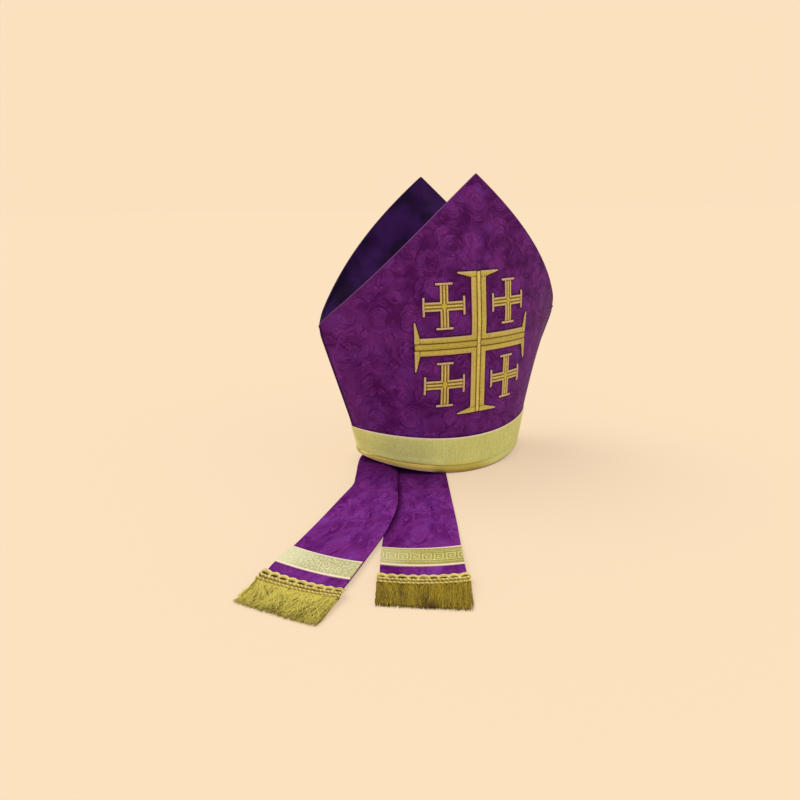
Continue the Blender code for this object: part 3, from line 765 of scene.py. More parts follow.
def damask_finish(name, cloth, gain, stretch, lines, strokes, weight, painted_shade_reach, gloss, mottle, painted_shade_lengths=None):
    """Silk damask: tone-on-tone figure, fine weave, a slow change of tone across the cloth, and
    painted shade along its sewn edges and beside the left lappet. The lengths given last, if any, say
    where a painted shade that the mitre casts on the lappets fades out along them."""
    finish = Finish(name)
    u, v = finish.chart()
    figure = damask_figure(finish, u, v * (1 / stretch), cloth.repeat, lines, strokes)
    patch_scale, patch_weight, lively = mottle
    patch = finish.noise((u, v * (1 / stretch), 0.7), patch_scale, 3.0, 0.6)
    livelier = v.step(*PEAK_TURN) * lively
    # towards the peak the mottle grows and the cloth is painted a little darker, a painted shade against the
    # extra light that the upper panel catches
    patches = (patch - 0.5) * (livelier + patch_weight) - livelier * 0.07
    fine = finish.noise((u, v, 2.0), 620.0)
    rib = u.wave(FINE_RIB) * v.wave(RIM_RIB)
    tone = figure * weight + 0.02 + (0.84 - weight) * 0.5 + patches + (fine - 0.5) * 0.34 + rib * 0.02
    cool = finish.noise((u, v, 8.0), 45.0).step(0.42, 0.66)
    light = finish.blend(cool, tinted(cloth.damask_figure, gain), tinted(cloth.damask_cool, gain))
    colour = finish.blend(tone, tinted(cloth.damask_ground, gain), light)
    # painted shade along the sewn edges, beside the left lappet, and on the lappets near the mitre
    painted_shade = finish.attribute("inward").step(painted_shade_reach, painted_shade_reach * 0.1) * 0.6
    if painted_shade_lengths:
        painted_shade = painted_shade.at_least(v.step(painted_shade_lengths[1], painted_shade_lengths[0]) * 0.50)
    colour = finish.blend(painted_shade, colour, tinted(cloth.damask_ground, np.multiply(gain, 0.45)))
    return finish.shade(
        Base_Color=colour,
        Roughness=0.66 - figure * 0.16,
        Normal=finish.relief(patch * 1.6 + rib * 0.06 + fine * 0.3, 0.00025, 0.5),
        Specular_IOR_Level=gloss,
    )


def satin_finish(name, colour):
    finish = Finish(name)
    x, y, z = finish.place()
    # slow blotches paint the light and shade of soft folds in the satin
    slow = finish.noise((x, y, z), 30.0, 3.0)
    fine = finish.noise((x * 4, y, z), 700.0)
    tone = slow.step(0.36, 0.66) * 0.85 + fine * 0.15
    return finish.shade(
        Base_Color=finish.shades(tone, colour, 0.3, 1.55),
        Roughness=0.42 + slow * 0.2,
        Normal=finish.relief(slow + fine * 0.1, 0.0012, 0.5),
        Specular_IOR_Level=0.07,
    )


def edge_finish(name, colour):
    finish = Finish(name)
    place = finish.place()
    fine = finish.noise(place, 900.0)
    slow = finish.noise(place, 60.0)
    return finish.shade(
        Base_Color=finish.shades(slow * 0.7 + fine * 0.4, colour, 0.55, 1.0),
        Roughness=0.55,
        Normal=finish.relief(fine, 0.0002, 0.5),
        Specular_IOR_Level=0.15,
    )


def galloon_finish(name, gold):
    """Rim galloon: grainy woven gold with fine cross ribs, a pale selvedge at its top, painted light and
    shade along the front, and gold that deepens towards the roll at the viewer's left as a painted crease
    shade."""
    finish = Finish(name)
    u, v = finish.chart()
    rib = u.wave(RIM_RIB) * 0.5 + 0.5
    pick = v.wave(RIM_PICK) * 0.5 + 0.5
    grain = finish.noise((u, v), 330.0, 2.0, 0.7)
    flecks = finish.noise((u, v, 3.0), 700.0, 1.0)
    ticks = finish.noise((u * 4, v * 0.8, 7.0), 110.0, 1.0)
    slow = finish.noise((u, v, 5.0), 26.0)
    tone = 0.5 + (grain - 0.5) * 0.6 + (flecks - 0.5) * 0.5 + (ticks - 0.5) * 0.4 + (slow - 0.5) * 0.4
    # painted light and shade: the weave is painted brighter at the viewer's left of the front, most of
    # all near the roll, and painted darker right of the middle and further to the left
    painted_light_left = u.step(-0.035, -0.055) * u.step(-0.145, -0.105)
    painted_shade_right = u.step(-0.045, -0.020) * u.step(0.20, 0.10)
    far = u.step(-0.127, -0.142) * u.step(-0.23, -0.19)
    near_roll = v.step(0.010, 0.002)
    tone = tone + painted_light_left * (0.12 + near_roll * 0.30) - painted_shade_right * 0.16 - far * 0.20
    colour = finish.shades(tone, gold.galloon, (0.66, 0.66, 0.5), (1.3, 1.3, 1.45))
    # the gold deepens towards the roll, a painted shade above the crease, strongest left of the middle
    low = v.step(0.0046, 0.0002) * (0.50 - 0.38 * u.step(-0.015, 0.045) - 0.40 * u.step(-0.075, -0.105))
    colour = finish.blend(low, colour, tinted(gold.roll, 1.1))
    # a faint cross seam, and the selvedge
    join = abs(u - GALLOON_JOIN).step(0.0009, 0.0002) * (0.4 + pick * 0.6)
    colour = finish.blend(join * 0.2 + v.step(*RIM_SELVEDGE), colour, gold.selvedge[:])
    return finish.shade(
        Base_Color=colour,
        Roughness=0.54 - grain * 0.12,
        Metallic=0.1,
        Normal=finish.relief(rib * 0.3 + pick * 0.2 + grain * 0.8, 0.0003, 0.6),
    )


def roll_finish(name, gold):
    """Deep gold roll with a raking twist. At the viewer's left it is painted lighter, as lit at its turn,
    and narrows below a painted dark crease shade, with a pale lower edge; in the middle it is painted
    darker downwards, as shade where it turns under; and to the right it looks like the galloon, with a
    painted shadow line at the bottom."""
    finish = Finish(name)
    u, v = finish.chart()
    twist = (u * (TURN / ROLL_TWIST) + v * 1800).sin() * 0.5 + 0.5
    grain = finish.noise((u, v), 380.0, 3.0, 0.7)
    slow = finish.noise((u, 0.0, 2.0), 18.0)
    tone = 0.12 + grain * 0.6 + twist * 0.15 + slow * 0.3
    left = u.step(-0.046, -0.062) * u.step(-0.26, -0.20)
    right = u.step(-0.010, 0.035) * u.step(0.26, 0.20)
    middle = finish.shades(tone, gold.roll, 0.50, 1.10)
    # in the middle, painted shade where the roll turns under
    middle = finish.blend(v.step(0.0052, 0.0012) * 0.62, middle, tinted(gold.groove, 1.1))
    crease = 0.0034 + 0.0040 * u.step(-0.153, -0.116) + 0.0011 * u.step(-0.095, -0.050)
    # at the viewer's left, a lighter copy of the roll paints its highlight, and its pale selvedge is painted
    # brighter at the bottom
    turned = finish.shades(tone, gold.roll_turn, 0.80, 1.35)
    turned = finish.blend(v.step(0.0028, 0.0016) * 0.80, turned, tinted(gold.selvedge, 1.15))
    above = finish.shades(tone, gold.galloon, (0.70, 0.68, 0.52), 1.15)
    turned = finish.blend((v - crease).step(0.0001, 0.0008), turned, above)
    # a painted dark crease shade
    line = abs(v - crease).step(0.0008, 0.0003) * (0.20 + 0.40 * u.step(-0.146, -0.128))
    turned = finish.blend(line, turned, gold.groove[:])
    plain = finish.shades(tone, gold.galloon, (0.6, 0.56, 0.5), 1.1)
    # to the right, a painted shadow line along the bottom
    plain = finish.blend(v.step(0.0022, 0.0004) * 0.6, plain, gold.groove[:])
    return finish.shade(
        Base_Color=finish.blend(right, finish.blend(left, middle, turned), plain),
        Roughness=0.48,
        Metallic=0.12,
        Normal=finish.relief(twist * 0.5 + grain * 0.6, 0.0004, 0.6),
    )


def thread_finish(name, colour, pitch=0.0006, edge=None, reach=0.0030):
    """Laid or twisted gold thread: fine lines across the chart's length, and flecks where single
    stitches glint. edge is a paler colour for the side of the chart where its width starts."""
    finish = Finish(name)
    u, v = finish.chart()
    lines = u.wave(pitch) * 0.5 + 0.5
    grain = finish.noise((u, v * 0.3), 1500.0)
    place = finish.place()
    flecks = finish.noise(place, 560.0, 1.0)
    slow = finish.noise(place, 70.0)
    tone = 0.26 + lines * 0.15 + grain * 0.2 + slow * 0.35 + (flecks - 0.5) * 1.1
    thread = finish.shades(tone, colour, 0.5, 1.25)
    if edge:
        thread = finish.blend(v.step(reach, reach * 0.4) * (0.45 + flecks * 0.5), thread, edge[:])
    return finish.shade(
        Base_Color=thread,
        Roughness=0.48 - lines * 0.1,
        Metallic=0.1,
        Normal=finish.relief(lines * 0.8 + grain * 0.3, 0.00025, 0.7),
    )


def shaded_thread_finish(name, deep, light, flecks):
    """Loose threads whose tone comes from the shade that each one carries. flecks is how strongly
    they glint along their length."""
    finish = Finish(name)
    place = finish.place()
    grain = finish.noise(place, 420.0)
    slow = finish.noise(place, 55.0)
    tone = finish.attribute("shade") + (grain - 0.5) * flecks + (slow - 0.5) * 0.5
    return finish.shade(
        Base_Color=finish.blend(tone, deep[:], light[:]),
        Roughness=0.5,
        Metallic=0.1,
        Normal=finish.relief(grain, 0.0001, 0.4),
        Specular_IOR_Level=0.25,
    )


def key_finish(name, gold, painted_sheen):
    """Lappet galloon: pale selvedges, guard lines and a woven key meander between them. The last
    argument paints a sheen that fades the pattern towards a pale ground."""
    finish = Finish(name)
    u, v = finish.chart()
    a, b = (u / KEY_PITCH).fract() * 7, (v - KEY_FOOT) / KEY_CELL
    pattern = None

    def weave(line):
        nonlocal pattern
        pattern = line if pattern is None else pattern.at_least(line)

    for left, right, bottom, top in KEY_BARS:
        inside = a.step(left - 0.3, left + 0.3) * a.step(right + 0.3, right - 0.3)
        weave(inside * b.step(bottom - 0.3, bottom + 0.3) * b.step(top + 0.3, top - 0.3))
    for guard in KEY_GUARDS:
        weave(abs(v - guard).step(0.0007, 0.0003) * 0.8)
    pattern = pattern * (1 - 0.75 * painted_sheen)
    grain = finish.noise((u, v), 520.0, 3.0, 0.7)
    slow = finish.noise((u, v, 4.0), 35.0)
    rib = u.wave(FINE_RIB) * 0.5 + 0.5
    field = linear(*mix(np.array((142, 130, 54)), (152, 144, 88), painted_sheen))
    raised = linear(*mix(np.array((224, 210, 124)), (240, 238, 194), painted_sheen))
    tone = 0.14 + 0.2 * painted_sheen + (grain - 0.5) * (1.3 + 2.0 * painted_sheen) + (slow - 0.5) * 0.5
    colour = finish.blend(tone + pattern * 0.58 + rib * 0.06, field, raised)
    pale_end = u.step(0.0, -0.034) * mix(0.30, 0.75, painted_sheen)
    colour = finish.blend(pale_end, colour, linear(228, 222, 176))
    edge = v.step(0.0024, 0.0016).at_least(v.step(0.0306, 0.0313))
    colour = finish.blend(edge * 0.85, colour, gold.selvedge[:])
    return finish.shade(
        Base_Color=colour,
        Roughness=0.5,
        Metallic=0.1,
        Normal=finish.relief(pattern * 1.2 + grain * 0.5 + rib * 0.2, 0.0004, 0.6),
    )


# =================================================================================================
# Threads by Geometry Nodes
# =================================================================================================


def thread_tree():
    """Guides become threads: each edge chain is swept by a small circle whose radius it carries."""
    tree = bpy.data.node_groups.get("Threads on guides")
    if tree:
        return tree
    tree = bpy.data.node_groups.new("Threads on guides", "GeometryNodeTree")
    face = tree.interface
    face.new_socket("Guides", in_out="INPUT", socket_type="NodeSocketGeometry")
    sides = face.new_socket("Sides", in_out="INPUT", socket_type="NodeSocketInt")
    sides.default_value, sides.min_value = 5, 3
    girth = face.new_socket("Girth", in_out="INPUT", socket_type="NodeSocketFloat")
    girth.default_value = 1.0
    face.new_socket("Thread", in_out="INPUT", socket_type="NodeSocketMaterial")
    face.new_socket("Threads", in_out="OUTPUT", socket_type="NodeSocketGeometry")

    def step(kind, *values, **named):
        return add_node(tree, kind, {}, values, named).outputs

    given = step("NodeGroupInput")
    curves = step("GeometryNodeMeshToCurve", given["Guides"])
    carried = step("GeometryNodeInputNamedAttribute", "radius")
    scaled = add_node(tree, "ShaderNodeMath", {"operation": "MULTIPLY"}, [carried[0], given["Girth"]])
    scaled = scaled.outputs[0]
    circle = step("GeometryNodeCurvePrimitiveCircle", given["Sides"], Radius=1.0)
    sized = step("GeometryNodeSetCurveRadius", curves[0], Radius=scaled)
    swept = add_node(tree, "GeometryNodeCurveToMesh", {}, [sized[0], circle[0]], {"Fill Caps": True})
    if "Scale" in swept.inputs:
        tree.links.new(scaled, swept.inputs["Scale"])
    plain = step("GeometryNodeRealizeInstances", swept.outputs[0])
    step("NodeGroupOutput", step("GeometryNodeSetMaterial", plain[0], Material=given["Thread"])[0])
    return tree


def threads(name, paths, radius, material, sides, shades=None, girth=1.0):
    """One piece of threads that follow the paths. radius is one number, or a number or an array for
    each path; shades are the tones that the paths carry."""
    points, edges, radii, tones = [], [], [], []
    for index, path in enumerate(paths):
        start = len(points)
        points.extend(path)
        edges.extend((i, i + 1) for i in range(start, start + len(path) - 1))
        own = radius[index] if isinstance(radius, list) else radius
        radii.extend(np.broadcast_to(own, len(path)))
        tones.extend(np.broadcast_to(0.5 if shades is None else shades[index], len(path)))
    mesh = bpy.data.meshes.new(name)
    mesh.from_pydata([tuple(p) for p in points], edges, [])
    add_attribute(mesh, "radius", radii)
    add_attribute(mesh, "shade", tones)
    guides = bpy.data.objects.new(name, mesh)
    bpy.context.scene.collection.objects.link(guides)
    modifier = guides.modifiers.new("Threads", "NODES")
    modifier.node_group = thread_tree()
    inputs = {item.name: item.identifier for item in modifier.node_group.interface.items_tree}
    for label, value in (("Sides", sides), ("Girth", girth), ("Thread", material)):
        modifier[inputs[label]] = value
    return plain_mesh(guides)


def plain_mesh(piece):
    """Turns a piece with modifiers into one with a plain mesh."""
    graph = bpy.context.evaluated_depsgraph_get()
    made = bpy.data.meshes.new_from_object(piece.evaluated_get(graph), depsgraph=graph)
    piece.modifiers.clear()
    piece.data = made
    made.shade_smooth()
    return piece


def add_attribute(mesh, label, values):
    mesh.attributes.new(label, "FLOAT", "POINT").data.foreach_set("value", np.asarray(values, np.float32))


def carry(piece, label, measure):
    """Gives each point of a piece a number, measured from where the point is."""
    points = np.array([vertex.co[:] for vertex in piece.data.vertices])
    add_attribute(piece.data, label, measure(points))


def keep(piece, node, stands_for=True):
    """Attaches a finished piece to the mitre's body, and hides the node that it stands for unless it is only
    a part of it.
    """
    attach(piece, "root")
    if stands_for:
        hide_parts(node)


# =================================================================================================
# Operators
# =================================================================================================


class PieceOperator(bpy.types.Operator):
    """What the operators below share"""

    bl_options = {"REGISTER", "UNDO"}


def level_ladder(lower, upper):
    """Levels from the hem to the peak, closer together where the outline turns at the corners."""
    low = 1 - (1 - np.linspace(0, 1, lower)) ** 1.15
    high = 1 + np.linspace(0, 1, upper)[1:] ** 1.1
    return np.concatenate([low, high])


def panel_inward(points):
    """How far points of a panel lie from its sewn edges: the rim's galloon, the seams and the cleft."""
    x, z = points[:, 0], points[:, 2]
    rise = z - HEM_RISE + sag(x)
    half = np.maximum(half_width(np.maximum(rise, 0.0)), 1e-4)
    across = clamp(np.abs(x) / half)
    dip = HEM_RISE * (1 - clamp((across**2 - HEM_FLAT**2) / (1 - HEM_FLAT**2)))
    row = (rise + dip) / (1 + dip / RISE_TO_CORNER)
    return np.minimum(np.abs(row - BAND_TOP), half * (1 - across) * 2 + 0.0006)


class MITRE_OT_panels(PieceOperator):
    """Make the two stiffened damask panels"""

    bl_idname = "mitre.panels"
    bl_label = "Panels"

    def execute(self, context):
        cloth = context.scene.mitre_cloth
        damask = damask_finish("purple damask", cloth, **PANEL_DAMASK)
        inside = satin_finish("inside satin", cloth.lining)
        angles = np.radians(np.linspace(-90, 90, 121))
        across, level = np.meshgrid(np.sin(angles), level_ladder(56, 76))
        for name, side in (("front", -1), ("back", 1)):
            outer = panel_points(side, across, level)
            inner = panel_points(side, across, level, -CLOTH_WALL)
            inner[..., 2] = outer[..., 2]
            chart = chart_of(outer)
            chart[..., 1] = outer[..., 2]
            piece = slab(f"{name}_shell", outer, inner, chart, [damask, inside], back_material=1)
            # each point carries its distance from the sewn edges, over which a painted shade fades
            carry(piece, "inward", panel_inward)
            keep(piece, f"{name}_panel")
        return {"FINISHED"}


class MITRE_OT_edges(PieceOperator):
    """Roll the cleft edges of both panels and the side seams"""

    bl_idname = "mitre.edges"
    bl_label = "Edges and seams"

    def execute(self, context):
        cloth = context.scene.mitre_cloth
        # the front edge is given a lighter colour, a painted highlight where light catches it
        light = edge_finish("rolled edge", cloth.edge)
        dark = edge_finish("turned lining edge", linear(52, 24, 72))
        seam = edge_finish("seam", linear(58, 18, 64))
        up = np.linspace(1.0, 2.0, 90)
        for name, side, material in (("front", -1, light), ("back", 1, dark)):
            rising = panel_points(side, -1.0, up, -CLOTH_WALL / 2)
            falling = panel_points(side, 1.0, up[::-1], -CLOTH_WALL / 2)
            path = np.concatenate([rising, falling[1:]])
            piece = threads(f"{name}_edge", [path], CLOTH_WALL / 2 + 0.0001, material, sides=8)
            keep(piece, f"{name}_panel", stands_for=False)
        paths = []
        for across in (-1.0, 1.0):
            front, back = (panel_points(side, across, np.linspace(0.02, 1.0, 40)) for side in (-1, 1))
            paths.append((front + back) / 2)
        keep(threads("side_seams", paths, SEAM_RADIUS, seam, sides=8), "front_panel", stands_for=False)
        return {"FINISHED"}


def lining_points(side, x, down):
    """Points of the lining, from the panel's edge at down = 0 to the fold between the peaks at 1."""
    rises = np.linspace(RISE_TO_CORNER, RISE_TO_PEAK, 400)
    rise_at_edge = np.interp(np.abs(x), half_width(rises)[::-1], rises[::-1])
    top = rise_at_edge - 0.0012
    fold = np.minimum(RISE_TO_CORNER + 0.004, top - 0.0008)
    rise = mix(top, fold, down)
    share = clamp((rise_at_edge - RISE_TO_CORNER) / (RISE_TO_PEAK - RISE_TO_CORNER))
    curve = mix(CORNER_DEPTH / CORNER_HALF_WIDTH**2, PEAK_CURVE, share)
    wall = depth(top) - curve * x**2 - CLOTH_WALL - SEWN_ON
    y = np.maximum(wall, 0.0) * (1 - down**1.7) + SEWING_GAP / 2
    return np.stack([x, side * y + CENTRE_Y, HEM_RISE + rise - sag(x)], axis=-1)


class MITRE_OT_lining(PieceOperator):
    """Hang the satin lining of the cleft"""

    bl_idname = "mitre.lining"
    bl_label = "Cleft lining"

    def execute(self, context):
        satin = satin_finish("cleft satin", context.scene.mitre_cloth.lining)
        reach = CORNER_HALF_WIDTH - 0.004
        x, down = grid(-reach, reach, 121, 0.0, 1.0, 49)
        for name, side in (("lining_front", -1), ("lining_back", 1)):
            near = lining_points(side, x, down)
            # soft folds that run from the corners up to the peak, still at the sewn edges
            room = np.sin(np.pi * down) ** 0.8 * smooth(0.16, 0.10, np.abs(x))
            folds = np.sin(x * 70 + down * 5.0 + side) * 0.0011 + np.sin(x * 31 - down * 9.0) * 0.0014
            ripple = np.sin(x * 120 - down * 14 + 2 * np.sin(x * 40)) * 0.0005
            near[..., 1] += side * (folds + ripple - 0.0026) * room
            far = near.copy()
            far[..., 2] += LINING_WALL * 0.8
            far[..., 1] -= side * LINING_WALL * 0.6 * (1 - down)
            keep(slab(name, near, far, chart_of(near), [satin]), f"cleft_{name}")
        # the seam that joins both halves along the fold, from corner to corner
        fold = lining_points(1, np.linspace(-reach - 0.0025, reach + 0.0025, 90), 1.0)
        fold -= (0.0, SEWING_GAP / 2, 0.0003)
        seam = threads("lining_seam", [fold], LINING_SEAM_RADIUS, satin, sides=6)
        keep(seam, "cleft_lining_front", stands_for=False)
        return {"FINISHED"}


def ring_points(row, offset):
    """One loop round the rim at a row's height, standing off the cloth. offset may be an array."""
    angles = np.radians(np.linspace(-90, 90, RING_COLUMNS))
    level = row / RISE_TO_CORNER
    front = panel_points(-1, np.sin(angles), level)
    back = panel_points(1, np.sin(angles[::-1]), level)
    seam_left = (front[0] + back[-1]) / 2
    seam_right = (front[-1] + back[0]) / 2
    loop = np.concatenate([[seam_left], front[1:-1], [seam_right], back[1:-1], [seam_left]])
    tangent = np.roll(loop[:-1], -1, axis=0) - np.roll(loop[:-1], 1, axis=0)
    outward = np.stack([tangent[:, 1], -tangent[:, 0], np.zeros(len(tangent))], axis=-1)
    outward /= np.linalg.norm(outward, axis=-1, keepdims=True)
    outward = np.concatenate([outward, outward[:1]])
    return loop + outward * np.broadcast_to(offset, len(loop))[:, None]


def sew_ring(name, node, rows, offsets, inner, finish, chart_low):
    """Sews a closed strip round the rim, charted from the middle of the front."""
    top = np.array([ring_points(row, offset) for row, offset in zip(rows, offsets)])
    bottom = np.array([ring_points(row, inner) for row in rows])
    chart = chart_of(top, origin_column=RING_COLUMNS // 2)
    chart[..., 1] = np.array(rows)[:, None] - chart_low
    keep(slab(name, top, bottom, chart, [finish], ring=True), node)


class MITRE_OT_rim(PieceOperator):
    """Sew the galloon and the roll round the rim"""

    bl_idname = "mitre.rim"
    bl_label = "Rim"

    def execute(self, context):
        gold = context.scene.mitre_gold
        rows = np.linspace(BAND_BOTTOM, BAND_TOP, 17)
        share = (rows - BAND_BOTTOM) / (BAND_TOP - BAND_BOTTOM)
        puff = BAND_WALL + 0.0003 - 0.0007 * smooth(0.92, 1.0, share)
        weave = galloon_finish("rim galloon", gold)
        sew_ring("rim_galloon", "rim_band", rows, puff, 0.00015, weave, BAND_BOTTOM)
        turns = np.radians(np.linspace(-84, 84, 9))
        middle, half = (ROLL_TOP + ROLL_BOTTOM) / 2 + 0.0002, (ROLL_TOP - ROLL_BOTTOM) / 2
        # the roll stands out at the viewer's left and lies flat towards the right
        around = np.linspace(0, 1, 2 * RING_COLUMNS - 1)
        proud = mix(0.0010, 0.0018, smooth(0.33, 0.12, around) + smooth(0.75, 0.95, around))
        offsets = [0.0003 + proud * math.cos(turn) for turn in turns]
        rows = [middle + half * math.sin(turn) for turn in turns]
        twist = roll_finish("rim roll", gold)
        sew_ring("rim_roll", "rim_binding", rows, offsets, 0.0001, twist, ROLL_BOTTOM)
        return {"FINISHED"}


# --- Embroidery ----------------------------------------------------------------------------------


# the embroidery's finishes, in the order of the materials that MITRE_OT_crosses makes
SATIN, PALE, GROUND, GROOVE, TIP, FINE, CROSSBAR, OPEN_GROOVE, CROSSING = range(9)


def add_column(bm, edge_a, edge_b, centre, material, height=1.0, turn=0):
    """A padded satin column between two edges, given as paths with matching corners. height is a
    share of the usual stitch, and turn counts quarter turns to the right."""
    edges = np.array([edge_a, edge_b], float)
    spans = np.linalg.norm(np.diff(edges, axis=1), axis=-1).max(axis=0)
    sides = edges[:, :1]
    for i, span in enumerate(spans):
        share = np.linspace(0, 1, max(math.ceil(span / STITCH_STEP), 1) + 1)[1:, None]
        sides = np.concatenate([sides, mix(edges[:, i, None], edges[:, i + 1, None], share)], axis=1)
    across = np.linspace(0, 1, 8)
    flat = mix(sides[0][:, None], sides[1][:, None], across[None, :, None])
    angle = math.radians(90 * turn)
    x = flat[..., 0] * math.cos(angle) + flat[..., 1] * math.sin(angle)
    z = flat[..., 1] * math.cos(angle) - flat[..., 0] * math.sin(angle)
    arch = np.sqrt(np.maximum(1 - (2 * across - 1) ** 2, 0)) ** 0.8
    ends = np.ones(len(flat))
    ends[[0, -1]] = 0.35
    lift = 0.0006 + STITCH_HEIGHT * height * arch[None, :] * ends[:, None]
    top = on_face(x + centre[0], z + centre[1], lift)
    bottom = on_face(x + centre[0], z + centre[1], SEWN_ON)
    middle = (sides[0] + sides[1]) / 2
    along = np.concatenate([[0], np.cumsum(np.linalg.norm(np.diff(middle, axis=0), axis=-1))])
    width = np.linalg.norm(sides[1] - sides[0], axis=-1)
    chart = np.stack([np.broadcast_to(along[:, None], lift.shape), width[:, None] * across[None, :]], axis=-1)
    add_slab(bm, top, bottom, chart, material=material, back_material=material)


def add_ground(bm, arm, centre, margin, material, top=0.0007):
    """The dark ground under and just around a cross, given by one arm's right half."""
    outline = np.array(cross_outline(arm))
    after = np.roll(outline, -1, axis=0) - outline
    after /= np.linalg.norm(after, axis=-1, keepdims=True)
    flat = bmesh.new()
    corners = []
    for first, second, (x, z) in zip(np.roll(after, 1, axis=0), after, outline):
        side = np.array([-first[1], first[0]])
        normal = np.array([-(first + second)[1], (first + second)[0]])
        length = np.linalg.norm(normal)
        normal = normal / length if length > 1e-6 else side
        normal *= min(margin / max(normal @ side, 0.35), margin * 1.8)
        corners.append(flat.verts.new((x + centre[0] + normal[0], 0, z + centre[1] + normal[1])))
    made = bmesh.ops.extrude_face_region(flat, geom=[flat.faces.new(corners)])["geom"]
    for vertex in [item for item in made if isinstance(item, bmesh.types.BMVert)]:
        vertex.co.y = 1.0
    for k in (0, 2):
        low, high = (limit(v.co[k] for v in flat.verts) for limit in (min, max))
        cuts = math.ceil((high - low) / GROUND_STEP)
        for i in range(1, cuts):
            place, normal = [0, 0, 0], [0, 0, 0]
            place[k], normal[k] = mix(low, high, i / cuts), 1
            whole = flat.verts[:] + flat.edges[:] + flat.faces[:]
            bmesh.ops.bisect_plane(flat, geom=whole, plane_co=place, plane_no=normal)
    bmesh.ops.triangulate(flat, faces=flat.faces)
    flat.verts.index_update()
    places = np.array([v.co[:] for v in flat.verts])
    points = on_face(places[:, 0], places[:, 2], np.where(places[:, 1] > 0.5, top, 0.0001))
    made = [bm.verts.new(point) for point in points]
    for face in flat.faces:
        bm.faces.new([made[v.index] for v in face.verts]).material_index = material
    flat.free()


def cross_outline(arm):
    """The outline of a cross from one arm's right half, anticlockwise as seen from the front."""
    outline = [(-a, b) for a, b in arm] + [(a, b) for a, b in reversed(arm[1:])]
    for _ in range(3):
        outline += [(b, -a) for a, b in outline[-(2 * len(arm) - 1) :]]
    return outline


def stitch_main_cross(name, materials):
    bm = bmesh.new()
    centre = (0, CROSS_HEIGHT)
    half, end = CROSS_BAR / 2, CROSS_HALF
    root, tip_root = end - SERIF_ROOT, SERIF_HALF - 0.0080
    # half widths of the groove and of the column inside it, in the upright and in the crossbar
    (tall_groove, tall_core), (wide_groove, wide_core) = (0.0030, 0.0023), (0.0040, 0.0033)
    arm = [(half, half), (half, root), (SERIF_HALF, end - SERIF_TIP), (SERIF_HALF, end)]
    add_ground(bm, arm, centre, 0.0011, GROUND)
    # a dark gold plate under the columns paints the shade deep in the grooves between them
    add_ground(bm, [(half * 0.8, half * 0.8), (half * 0.8, end - 0.0008)], centre, 0.0, GROOVE, 0.0010)
    for turn in range(4):
        groove, beside = (wide_groove, tall_groove) if turn % 2 else (tall_groove, wide_groove)
        outer = [(half, root), (half, half), (root, half)]
        inner = [(groove, root), (groove, beside), (root, beside)]
        add_column(bm, outer, inner, centre, SATIN, turn=turn)
        # the two pointed serifs at this arm's end, stitched out from the column
        for reach in (SERIF_HALF, -SERIF_HALF):
            inside, corner, late = (math.copysign(width, reach) for width in (groove, half, tip_root))
            top = [(inside, end), (corner, end), (reach, end)]
            low = [(inside, root), (corner, root), (reach, end - SERIF_TIP)]
            add_column(bm, top, low, centre, SATIN, 0.9, turn)
            # the pale tip of each serif is a painted highlight
            tip = [(late, end + 0.0001), (reach, end)]
            add_column(bm, tip, [(late, end - 0.0040), (reach, end - SERIF_TIP)], centre, TIP, turn=turn)
    for turn in (0, 2, 1, 3):
        core, start, material = (wide_core, tall_groove, CROSSBAR) if turn % 2 else (tall_core, 0, PALE)
        columns = [[(x, start), (x, end - 0.0006)] for x in (-core, core)]
        add_column(bm, *columns, centre, material, turn=turn)
    return object_from(bm, name, materials, 50)


def stitch_crosslet(name, centre, materials):
    bm = bmesh.new()
    half, end, wide = CROSSLET_BAR / 2, CROSSLET_HALF, CROSSLET_END_HALF
    root = end - CROSSLET_END_WALL
    groove, core, over = 0.0025, 0.0012, 0.0031
    add_ground(bm, [(half, half), (half, root), (wide, root), (wide, end)], centre, 0.0009, GROUND)
    # a dark gold plate under the columns paints the shade deep in the grooves between them
    add_ground(bm, [(half * 0.8, half * 0.8), (half * 0.8, root)], centre, 0.0, OPEN_GROOVE, 0.0010)
    for turn in range(4):
        outer = [(half, root), (half, half), (root, half)]
        inner = [(groove, root), (groove, groove), (root, groove)]
        add_column(bm, outer, inner, centre, FINE, 0.85, turn)
        add_column(bm, [(-wide, end), (wide, end)], [(-wide, root), (wide, root)], centre, TIP, 1.1, turn)
        start = groove if turn % 2 else 0.0
        columns = [[(x, start), (x, root)] for x in (-core, core)]
        add_column(bm, *columns, centre, PALE, 0.8, turn)
    # the crossing is sewn over once more, in deeper gold
    add_column(bm, [(-over, -over), (-over, over)], [(over, -over), (over, over)], centre, CROSSING)
    return object_from(bm, name, materials, 50)


